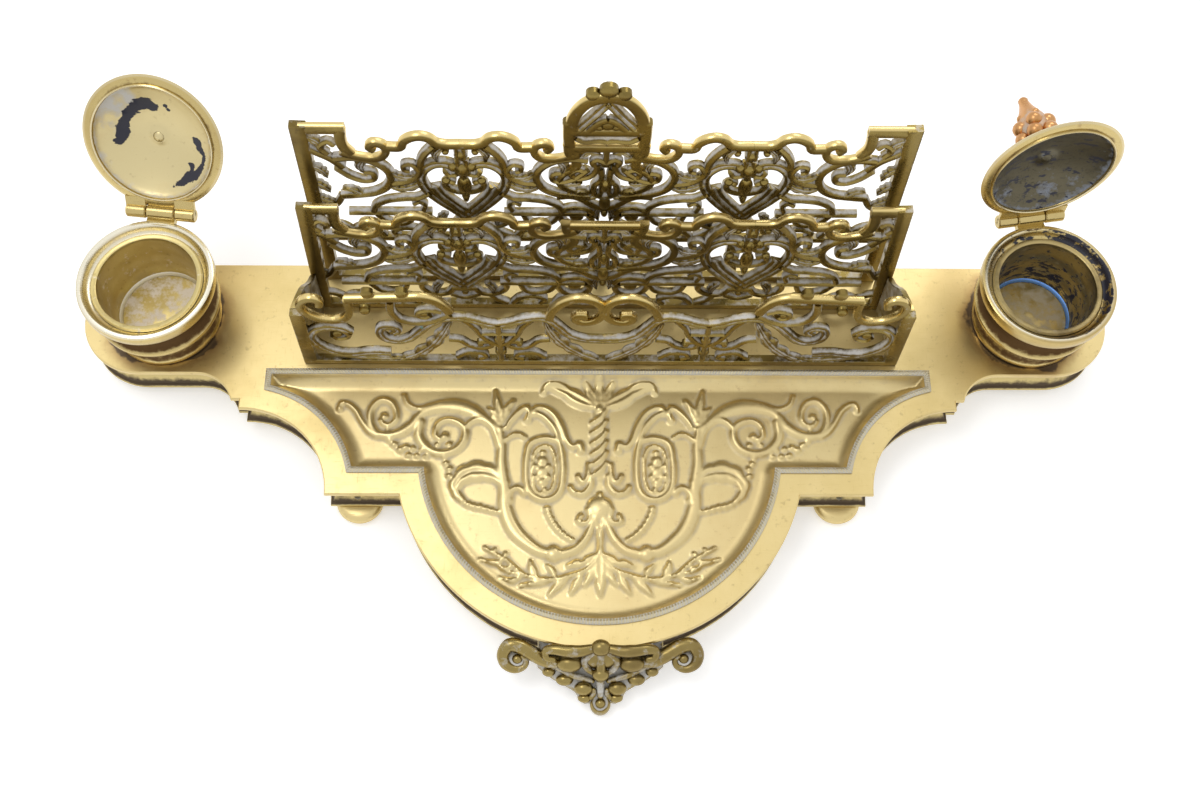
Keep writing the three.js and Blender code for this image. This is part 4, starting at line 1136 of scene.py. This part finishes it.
def tier_panel(name, node_name, panel_y, lift, spread, foot_x, head_x, crest):
    panel = Panel(panel_y, lift, spread, foot_x, head_x, TIER_TALL + lift)
    panel.posts(TIER_POST, 0.2)
    for side in (-1, 1):
        about = side * HEART_SHARE
        panel.strokes(HEART, about)
        panel.strokes(HEART_TOP, about, top=True)
        panel.strokes(HEART_SPINE, about, (1,))
        panel.bosses(HEART_BOSSES, about)
        panel.drops(HEART_DROPS, about)
        panel.leaves(HEART_LEAVES, about)
    panel.strokes(CENTRE)
    panel.strokes(CENTRE_TOP, top=True)
    panel.strokes(CENTRE_SPINE, sides=(1,))
    panel.bosses(CENTRE_BOSSES, sides=BOTH)
    panel.drops(CENTRE_DROPS)
    panel.leaves(CENTRE_LEAVES)
    panel.strokes(CORNER)
    panel.strokes(CORNER_TOP, top=True)
    panel.leaves(CORNER_LEAVES)
    if crest:
        panel.bar(-foot_x, lift + RAIL_RISE, foot_x, lift + RAIL_RISE, RAIL_HALF)
        panel.strokes(CREST)
        panel.strokes(CREST_TOP, top=True)
        panel.bosses(CREST_BOSSES)
        for x in (-STUD_X, 0, STUD_X):
            panel.bar(x, 0.5, x, lift + 1.5, TIER_POST)
    panel.make(name, node_name)


def front_panel():
    panel = Panel(FRONT_PANEL_Y, 0, FRONT_SPREAD, FRONT_FOOT_X, FRONT_HEAD_X, END_TALL)
    panel.posts(FRONT_POST, 0.4)
    panel.strokes(FRONT)
    panel.strokes(FRONT_TOP, top=True)
    panel.bosses(FRONT_BOSSES, sides=BOTH)
    panel.leaves(FRONT_LEAVES, lobes=5)
    panel.make("rack_front_fret", "rack_front_panel")


END_PROFILE = [
    0, 400, 20, 400, 60, 386, 100, 368, 125, 344, 150, 310, 180, 280, 210, 266, 210, 3, 0, 3,
]


def end_plate(label, side):
    """A plain cheek between the front and middle frets, its top swept down to the back."""
    front = FRONT_PANEL_Y + PANEL_THICK / 2 + 0.2
    outer = FRONT_FOOT_X + FRONT_POST
    lean = (FRONT_FOOT_X - FRONT_HEAD_X) / END_TALL
    end_profile = places_of(END_PROFILE, TENTHS)
    points = []
    marks = []
    for inward, shrink, mark in ((END_THICK, 0.3, 0.6), (END_THICK - 0.3, 0, 0.3), (0.3, 0, 0), (0, 0.3, 0)):
        for y, z in end_profile:
            share = 1 - shrink / 10
            depth, height = 10.5 + (y - 10.5) * share, 18 + (z - 18) * share
            x = outer - inward - END_TOE * depth / 21 - lean * height
            points.append((RACK_X + side * x, front + depth, height))
            # The top edge takes the paler polish colour, partly polish and partly a painted highlight.
            marks.append(mark if z < 39 else -0.3)
    heap = Heap()
    heap.add(points, ring_faces(4, len(end_profile), False, True, True), marks)
    heap.make(f"rack_cheek_{label}", RACK, nodes=[f"rack_end_{label}"], slot="rack_brass")


# Wells

ROUND = 96
LID_ROUND = 120
WELL_PROFILE = [
    0, 3, 206, 3, 212, 7, 213, 16, 210, 24, 207, 30, 205, 45, 205, 80, 208, 96, 218, 109, 230, 117, 235, 122,
     236, 129, 234, 136, 224, 143, 212, 152, 207, 163, 206, 184, 207, 206, 212, 222, 224, 234, 240, 242, 249,
     250, 253, 260, 253, 289, 250, 297, 244, 300, 235, 300, 229, 295, 226, 286, 222, 276, 216, 269, 208, 267,
     208, 249, 192, 248, 192, 24, 0, 24,
]
# High marks in the body's hollows, most in the waist under the rim, darken them with the dark red-brown matter:
# tarnish with painted shade.
WELL_MARKS = [0.3, 0.2, 0, 0, 0.3, 0.7, 0.8, 0.6, 0.8, 0.7, 0.3, 0, 0, 0.2, 0.8, 1.0, 1.0, 0.9, 1.0, 1.0, 0.8,
              0.3,
              0, 0, 0]
# Rim and channel: the left's negative marks paint a pale highlight over its rim and channel; the right's rise
# deeper into the channel.
RIM_MARKS = {"left": [-0.3, -0.6, -0.6] + [-0.4] * 7 + [0.3, 0.3],
             "right": [0, -0.15, -0.15, 0.1, 0.2, 0.3, 0.5, 0.6, 0.6, 0.6, 0.9, 0.9]}
WET_SIDE = math.radians(20)
WELL_INK = {"left": 0.0, "right": 0.66}
BORE_INK = {"left": 0.0, "right": 0.57}
DISH_INK = {"left": 0.0, "right": 0.42}


def knuckle(heap, x, half, y, z):
    radius = KNUCKLE_RADIUS
    profile = [(0, -half), (radius * 0.85, -half), (radius, -half + 0.4), (radius, half - 0.4),
               (radius * 0.85, half), (0, half)]
    heap.add(*turned(profile, (x, y, z), 20, "X"))


def slab(heap, low, high):
    (x0, y0, z0), (x1, y1, z1) = low, high
    points = [(x, y, z) for z in (z0, z1) for y in (y0, y1) for x in (x0, x1)]
    faces = [(0, 2, 3, 1), (4, 5, 7, 6), (0, 1, 5, 4), (2, 6, 7, 3), (0, 4, 6, 2), (1, 3, 7, 5)]
    heap.add(points, faces)


def well_stand(label):
    """Where a well stands on the plate, and how far it is turned."""
    return Matrix.Translation((SIDES[label] * WELL_X, WELL_Y, 0)) @ Matrix.Rotation(TURNS[label], 4, "Z")


def well(label):
    heap = Heap()
    points, faces, marks = turned(places_of(WELL_PROFILE, TENTHS), steps=ROUND,
                                  marks=WELL_MARKS + RIM_MARKS[label])
    inks = []
    for index, (x, y, z) in enumerate(points):
        toward_wet_side = 0.5 + 0.5 * math.cos(math.atan2(y, x) - WET_SIDE)
        channel = math.hypot(x, y) < RIM_INNER + 1.2 and z > 20
        inks.append(WELL_INK[label] * (0.3 + 0.75 * toward_wet_side) if channel else 0.0)
        # On the right well the channel's side away from the wet side turns to the cream colour, a painted sheen.
        if channel and label == "right":
            marks[index] = marks[index] * toward_wet_side - 0.6 * (1 - toward_wet_side)
    heap.add(points, faces, marks, inks)
    slab(heap, (-KNUCKLE_HALF, RIM_INNER + 0.3, WELL_TALL - KNUCKLE_RADIUS),
         (KNUCKLE_HALF, PIVOT_REACH, WELL_TALL - 0.1))
    knuckle(heap, 0, KNUCKLE_HALF, PIVOT_REACH, WELL_TALL + PIVOT_RISE)
    heap.turn(well_stand(label))
    heap.make(f"{label}_well", WELL, nodes=[f"{label}_well_body"])


LEDGES = {"left": 0.6, "right": 1.1}


def smooth_step(share):
    share = min(1.0, max(0.0, share))
    return share * share * (3 - 2 * share)


def liner(label):
    bore = LINER_RADIUS - LINER_WALL
    low = 2.6
    flange_low = LINER_TOP - 3
    ledges = LEDGES[label]
    wall = [(bore - ledges * smooth_step((k - 6) / 5) - ledges * smooth_step((k - 14) / 4), LINER_TOP - 0.9 - k)
            for k in range(23)]
    foot = wall[-1][0]
    floor = [(foot - 0.8 - k, 3.5 + 0.05 * k) for k in range(int(foot) - 1)]
    profile = [(0, low), (LINER_RADIUS, low), (LINER_RADIUS, flange_low), (LINER_FLANGE, flange_low),
               (LINER_FLANGE, LINER_TOP - 0.5), (LINER_FLANGE - 0.5, LINER_TOP), (bore + 0.8, LINER_TOP),
               (bore + 0.25, LINER_TOP - 0.3), *wall, (foot - 0.3, 4.2), *floor, (0, 4.4)]
    points, faces, _ = turned(profile, steps=ROUND)
    inks = []
    marks = []
    for x, y, z in points:
        inside = math.hypot(x, y) < bore + 0.1
        depth = (LINER_TOP - z) / LINER_TOP
        inks.append(BORE_INK[label] * (0.6 + 0.5 * depth) if inside and z > 5 else 0.0)
        marks.append(0.55 if inside and z < 4.3 else 0.15)
    heap = Heap()
    heap.add(points, faces, marks, inks)
    bead = [(foot - 0.05, 3.6), (foot - 0.05, 4.9), (foot - 0.6, 4.5), (foot - 1.1, 3.7)]
    points, faces, _ = turned(bead, steps=ROUND)
    heap.add(points, faces, look=1)
    heap.turn(well_stand(label))
    heap.make(f"{label}_liner", LININGS[label], INK_LINES[label], nodes=[f"{label}_well_liner"],
              slot="lining")


def lid_pose(label):
    """Where a lid's hinge lies, and how far the lid is open."""
    hinge = Matrix.Translation((0, PIVOT_REACH, WELL_TALL + PIVOT_RISE))
    return well_stand(label) @ (hinge @ Matrix.Rotation(-OPENINGS[label], 4, "X"))


LEFT_STAINS = [
    ((16, 24, 17, 19, 27, 22), -132, -15, -120, 40, -92, 96, -58, 120, -22, 134, -6, 122),
    ((15, 16), -142, -25, -134, 10),
    ((17, 19, 13), 150, 6, 159, -10, 167, -26),
    ((6, 8, 12, 18, 12, 7), 176, -30, 170, -80, 145, -115, 124, -128, 85, -156, 50, -172),
    ((13, 10), 122, -92, 128, -120),
    ((8, 8), 46, 132, 52, 110),
]


def stain_at(x, y):
    """Ink left in the left lid's dish; x to the right and y up as it stands open."""
    deepest = 0.0
    for widths, *numbers in LEFT_STAINS:
        line = smooth_line(places_of(numbers, TENTHS), 0.8)
        half = np.interp(np.linspace(0, 1, len(line)), np.linspace(0, 1, len(widths)), widths) / TENTHS
        gap = (np.hypot(line[:, 0] - x, line[:, 1] - y) / half).min()
        deepest = max(deepest, 1.35 - 0.8 * gap)
    return max(0.0, deepest)


DISH_PATCHES = {
    "left": [(-13.5, 11.5, 6.5, 0.9), (-8.5, 16.0, 5.5, 0.9), (-16.0, 4.0, 4.5, 0.6), (0, 0, 2.6, 0.8)],
    "right": [(-1.0, 2.5, 4.0, 0.5), (4.0, -14.5, 6.5, 0.55), (13.0, -10.0, 5.0, 0.4),
              (-13.0, -12.0, 6.0, 0.5)],
}


def dish_patch_at(label, x, y):
    """Pale patches in an open lid's dish, on the right lid a painted sheen mostly toward its lower edge; x to the
    right and y up as it stands open.
    """
    deepest = 0.0
    for bx, by, reach, amount in DISH_PATCHES[label]:
        deepest = max(deepest, amount * (1 - math.hypot(x - bx, y - by) / reach))
    return deepest


def lid(label):
    under = LID_GAP - PIVOT_RISE
    edge = under + LID_EDGE
    lip = 22.6
    dish = [(2.0, 6.0), (2.5, 6.1), (3.4, 6.5), (4.6, 6.6), (6, 6.4), (7.5, 6.1), (9, 5.8), (10.9, 5.25),
            (12.5, 4.7), (14, 4.1), (15.5, 3.5), (17, 2.75), (18.5, 2.0), (20.0, 1.2), (21.0, 0.5),
            (21.5, -0.2),
            (21.7, under)]
    lip_turn = [(21.85, under - 0.8), (22.25, under - 1.0), (lip, under - 0.7), (lip + 0.1, under),
                (24.4, under + 0.1), (25.3, under + 0.5), (25.9, edge - 0.6), (25.5, edge), (24.5, edge + 0.5)]
    dome = [(22.4, 2.3), (20.2, 3.6), (18.1, 4.6), (14.6, 6.0), (10.9, 6.9), (6, 7.7)]
    profile = [(2.0, 8.0), *dish, *lip_turn, *dome]
    # Pale marks toward the dish's edge and negative ones round the lip paint a highlight line at the lip; in the
    # right dish the pale marks are a bluish painted sheen.
    dish_marks = [*[0.1] * 13, 0.25, 0.4, 0.6, 0.5]
    marks = [0.3, *dish_marks, -0.2, -0.3, 0.2, 0.5, 0, -0.2, -0.2, 0, 0.2, 0.1, 0, 0, 0, 0, 0.2]
    heap = Heap()
    points, faces, grime_and_painted_light = turned(profile, (0, -PIVOT_REACH, 0), LID_ROUND, marks=marks)
    inks = []
    for index, (x, y, _) in enumerate(points):
        inside = index // LID_ROUND in range(1, len(dish) + 1)
        local = (x, -(y + PIVOT_REACH))
        if inside:
            grime_and_painted_light[index] += dish_patch_at(label, *local)
        stain = stain_at(*local) if label == "left" and inside else 0.0
        inks.append(max(stain, DISH_INK[label]) if inside else 0.0)
    heap.add(points, faces, grime_and_painted_light, inks)
    dished = range(LID_ROUND, LID_ROUND * (len(dish) + 1))
    heap.looks = [1 if all(i in dished for i in face) else 0 for face in heap.faces]
    from_x = KNUCKLE_HALF + 0.3
    half = (HINGE_HALF - from_x) / 2
    for hand in BOTH:
        middle = hand * (from_x + half)
        slab(heap, (middle - half, -6, under), (middle + half, 0, edge))
        knuckle(heap, middle, half, 0, 0)
    heap.turn(lid_pose(label))
    heap.make(f"{label}_lid_shell", WELL, DISHES[label], body=f"{label}_lid_body", nodes=[f"{label}_lid"])


# Shares of the finial's radius and height; berries as out, up, count, turn and radius in millimetres
KNOB_SHARES = [(0.56, 0), (0.6, 0.02), (0.5, 0.05), (0.36, 0.1), (0.36, 0.15), (0.5, 0.22), (0.66, 0.3),
               (0.7, 0.4), (0.66, 0.5), (0.55, 0.62), (0.42, 0.72), (0.31, 0.8), (0.24, 0.87), (0.21, 0.92),
               (0.21, 0.96), (0.14, 0.99), (0, 1)]
BERRY_ROWS = [(0.64, 0.27, 6, 0.0, 3.0), (0.58, 0.46, 5, 0.5, 3.0), (0.42, 0.62, 4, 0.1, 1.7)]


def finial(label):
    """A knob cast as a bunch of berries."""
    base = LID_RISE + 0.2
    heap = Heap()
    shank = [(0, 5.3), (1.2, 5.4), (1.9, 6.0), (1.95, 6.4), (1.95, base)]
    knob = [(out * FINIAL_RADIUS, base + up * FINIAL_TALL) for out, up in KNOB_SHARES]
    marks = [0.0] * (len(shank) + 4) + [0.62] * 5 + [0.3, 0.2] + [0.1] * 6
    points, faces, marks = turned(shank + knob, (0, -PIVOT_REACH, 0), 32, marks=marks)
    heap.add(points, faces, marks)
    heap.looks = [1 if min(points[i][2] for i in face) < LID_RISE - 1 else 0 for face in faces]
    for out, up, count, turn, radius in BERRY_ROWS:
        for k in range(count):
            angle = 2 * math.pi * (k + turn) / count
            away = out * FINIAL_RADIUS
            place = (away * math.cos(angle), away * math.sin(angle) - PIVOT_REACH, base + up * FINIAL_TALL)
            heap.add(*ball(place, (radius,) * 3, 16, 10))
    heap.turn(lid_pose(label))
    heap.make(f"{label}_berry_knob", COPPER, DISHES[label], body=f"{label}_lid_body",
              nodes=[f"{label}_finial"], slot="copper")


# Feet and front ornament

def foot(node_name, x, y):
    low = -APRON_DEEP - FOOT_TALL
    top = -APRON_DEEP - 0.2
    profile = [(1.72, low + 1.9), (3.3, low + 1.9), (3.3, low), (6.4, low), (7.9, low + 0.4), (8.7, low + 1.3),
               (9.0, low + 2.5), (8.6, low + 3.7), (7.6, low + 4.4), (6.3, top), (1.72, top)]
    heap = Heap()
    heap.add(*turned(profile, (x, y, 0), 48))
    heap.make(node_name.replace("foot", "pad"), DECK, nodes=[node_name])


ORNAMENT_OUTLINE = [(22.5, -61.5), (19.5, -63.8), (17.0, -65.5), (13.0, -67.4), (9.3, -69.4), (8.4, -70.6),
                    (8.0, -72.2),
                    (5.6, -73.4), (3.2, -73.2)]
ORNAMENT_LEVELS = [(1.0, -3.8, 0.3), (0.2, -2.8, 0.3), (0.0, -1.2, 0.2), (0.6, -0.3, 0.5), (1.8, 0.0, 0.9)]

# Right half of the ornament: places in the face's plane, places in space, and beads with their radii and steps
ORNAMENT_ARM = [(14, -60.6), (19, -60.2), (24, -57.9), (28.5, -55.6), (32.4, -55.2), (34.6, -58), (33.8, -61.2),
                (30.6, -62.9), (27.4, -62.2), (26.4, -60.2), (27.8, -58.9)]
ORNAMENT_VEIN = [(2.8, -66.6), (4.2, -66.2), (9.0, -65.0), (14.0, -62.8), (18.0, -61.0)]
ORNAMENT_TIP = [(2.4, -69.4), (2.4, -70.6), (3.4, -71.8)]
ORNAMENT_CURL = [(3.0, -57.4, 0.4), (7.5, -58.3, 0.5), (12.0, -58.2, 0.6), (16.5, -57.6, 0.4),
                 (19.3, -58.0, -0.6),
                 (19.0, -60.0, -2.2), (16.8, -60.4, -2.6)]
ORNAMENT_SPRIG = [(2.4, -58.6, -1.0), (5.6, -60.8, -2.6), (4.8, -63.2, -4.6), (2.6, -64.6, -6.0)]
ORNAMENT_HOOK = [(16.6, -60.6, -3.6), (15.6, -61.2, -6.0), (16.8, -61.8, -8.2)]
ORNAMENT_BEADS = [((11.0, -61.4, -5.0), (4.8, 3.2, 3.4), 24, 16),
                  ((12.8, -66.0, -10.6), (3.2, 2.2, 2.2), 20, 12),
                  ((6.0, -68.9, -11.4), (3.4, 2.6, 2.6), 20, 12),
                  ((18.4, -63.4, -9.6), (2.4, 1.8, 1.9), 20, 12),
                  ((5.6, -71.9, -13.9), (2.5, 1.7, 1.6), 18, 10)]


def slope(y):
    """Height of the ornament's face, which falls away to the toe."""
    return -8.4 + 0.46 * (y + 60)


def on_face(side, places, lift):
    return [(side * x, y, slope(y) + lift) for x, y in places]


def in_space(side, places):
    return [(side * x, y, z) for x, y, z in places]


def front_ornament():
    heap = Heap()
    wall = BOW_RADIUS - 4
    turn = math.asin(22.5 / wall)
    outline = (ORNAMENT_OUTLINE + [(-x, y) for x, y in reversed(ORNAMENT_OUTLINE)]
               + arc(0, BOW_Y, wall, -math.pi / 2 - turn, -math.pi / 2 + turn, 10))
    points = []
    marks = []
    for inward, lift, mark in ORNAMENT_LEVELS:
        for x, y in outline:
            shrink = 1 - inward / 24
            points.append((x * shrink, -62 + (y + 62) * shrink, slope(y) + lift))
            marks.append(mark)
    heap.add(points, ring_faces(len(ORNAMENT_LEVELS), len(outline), False, True, True), marks)
    backing = BOW_RADIUS + 2.6
    span = math.asin(19 / backing)
    plan = (arc(0, BOW_Y, backing, -math.pi / 2 - span, -math.pi / 2 + span, 24)
            + arc(0, BOW_Y, wall + 2, -math.pi / 2 + span, -math.pi / 2 - span, 24))
    band = [(x, y, z) for z in (-12.5, -0.9) for x, y in plan]
    heap.add(band, ring_faces(2, len(plan), False, True, True), [0.8] * len(band))
    heap.add(*ball((0, -57.2, 1.0), (3.5, 3.0, 2.7), 24, 16))
    for side in BOTH:
        tube(heap, in_space(side, ORNAMENT_CURL), [1.7, 2.1, 2.3, 2.1, 1.9, 1.5, 1.2], 0.1)
        tube(heap, on_face(side, ORNAMENT_ARM, 2.6), [2.3, 2.5, 2.7, 2.8, 2.8, 2.6, 2.3, 2.0, 1.6, 1.2, 0.9],
             0.15)
        eye, faces, _ = ball((side * 30.0, -59.4, slope(-59.4) + 1.2), (4.4, 3.6, 1.5), 24, 10)
        heap.add(eye, faces, [0.85] * len(eye))
        heap.add(*ball((side * 29.6, -59.6, slope(-59.6) + 2.4), (1.9, 1.8, 1.6)))
        for (x, y, z), radii, steps, rings in ORNAMENT_BEADS:
            heap.add(*ball((side * x, y, z), radii, steps, rings))
        tube(heap, in_space(side, ORNAMENT_SPRIG), [1.3, 1.4, 1.3, 1.0], 0.4)
        tube(heap, on_face(side, ORNAMENT_VEIN, 1.6), [0.9, 1.2, 1.3, 1.2, 0.9], 0.3)
        tube(heap, on_face(side, ORNAMENT_TIP, 0.9), [1.0, 1.1, 0.9], 0.3)
        tube(heap, in_space(side, ORNAMENT_HOOK), [1.2, 1.4, 1.2], 0.4)
    heap.add(*ball((0, -59.0, -5.0), (8.0, 4.5, 5.0), 24, 16))
    tube(heap, [(0, -58.6, -0.6), (0, -61.6, -2.2), (0, -64.0, -4.2)], [1.6, 1.7, 1.7], 0.2)
    heap.add(*ball((0, -65.2, -5.6), (3.1, 2.5, 2.7), 24, 16))
    tube(heap, [(0, -66.5, -9.0), (0, -69.5, -11.6), (0, -71.2, -13.0)], [1.6, 1.3, 1.2], 0.6)
    button = [(0, -19.9), (2.9, -19.9), (3.6, -19.2), (3.75, -16.8), (3.6, -14.8), (3.0, -14.1), (2.3, -14.6),
              (0, -14.7)]
    heap.add(*turned(button, (0, -73.6, 0), 32, marks=[0.3, 0.3, 0.1, 0.1, 0.1, 0.0, 0.95, 0.95]))
    heap.add(*ball((0, -73.6, -14.7), (1.9, 1.9, 1.7), 20, 12))
    heap.make("ornament", ORNAMENT, nodes=["front_ornament"], sharp=60)


def camera():
    data = bpy.data.cameras.new("photo_camera")
    data.lens = CAMERA_LENS
    data.sensor_width = 36
    data.sensor_fit = "HORIZONTAL"
    made = bpy.data.objects.new("photo_camera", data)
    forward = Vector((math.sin(CAMERA_YAW) * math.cos(CAMERA_DIP), math.cos(CAMERA_YAW) * math.cos(CAMERA_DIP),
                      -math.sin(CAMERA_DIP)))
    right = Vector((math.cos(CAMERA_YAW), -math.sin(CAMERA_YAW), 0))
    up = right.cross(forward)
    across = right * math.cos(CAMERA_ROLL) + up * math.sin(CAMERA_ROLL)
    above = up * math.cos(CAMERA_ROLL) - right * math.sin(CAMERA_ROLL)
    made.matrix_world = Matrix.Translation(stand(CAMERA_PLACE)) @ Matrix(
        (across, above, -forward)).transposed().to_4x4()
    bpy.context.scene.collection.objects.link(made)
    bpy.context.scene.camera = made


def lamp(name, place, size, power, aim=(0, 0, 0)):
    data = bpy.data.lights.new(name, "AREA")
    data.shape = "RECTANGLE"
    data.size, data.size_y = size
    data.energy = power
    made = bpy.data.objects.new(name, data)
    made.location = place
    made.rotation_euler = (Vector(aim) - Vector(place)).to_track_quat("-Z", "Y").to_euler()
    bpy.context.scene.collection.objects.link(made)


def studio():
    size = 6.0
    mesh = bpy.data.meshes.new("floor")
    mesh.from_pydata([(-size, -size, 0), (size, -size, 0), (size, size, 0), (-size, size, 0)], [],
                     [(0, 1, 2, 3)])
    mesh.materials.append(plain_floor())
    floor = bpy.data.objects.new("floor", mesh)
    bpy.context.scene.collection.objects.link(floor)
    world = bpy.data.worlds.new("studio")
    bpy.context.scene.world = world
    world.use_nodes = True
    tree = world.node_tree
    tree.nodes["Background"].inputs[0].default_value = (1, 1, 1, 1)
    tree.links.new(ramp(tree, seen_directly(tree), 0, 1, 0.8, 1.0), tree.nodes["Background"].inputs[1])
    lamp("top_softbox", (-0.4, 0.15, 1.2), (0.5, 0.4), 2.6)
    lamp("back_softbox", (0.35, 0.8, 0.9), (0.5, 0.25), 1.6)
    bpy.context.scene.view_settings.view_transform = "Standard"


camera()
studio()
top_plate()
apron()
milled_border()
tray_pan()
tier_panel("rack_middle_fret", "rack_middle_panel", MIDDLE_PANEL_Y, 0, MIDDLE_SPREAD, MIDDLE_FOOT_X,
           MIDDLE_HEAD_X, False)
tier_panel("rack_back_fret", "rack_back_panel", BACK_PANEL_Y, TIER_STEP, 1, TIER_FOOT_X, TIER_HEAD_X, True)
front_panel()
for LABEL, SIDE in SIDES.items():
    end_plate(LABEL, SIDE)
    well(LABEL)
    liner(LABEL)
    lid(LABEL)
    finial(LABEL)
front_ornament()
for END, FOOT_X, FOOT_Y in FOOT_PLACES:
    for LABEL, SIDE in SIDES.items():
        foot(f"foot_{END}_{LABEL}", SIDE * FOOT_X, FOOT_Y)
for name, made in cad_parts.items():
    made.data.materials.clear()
    made.data.materials.append(STEEL if "screw" in name or "nut" in name else RACK if "rack" in name else DECK)
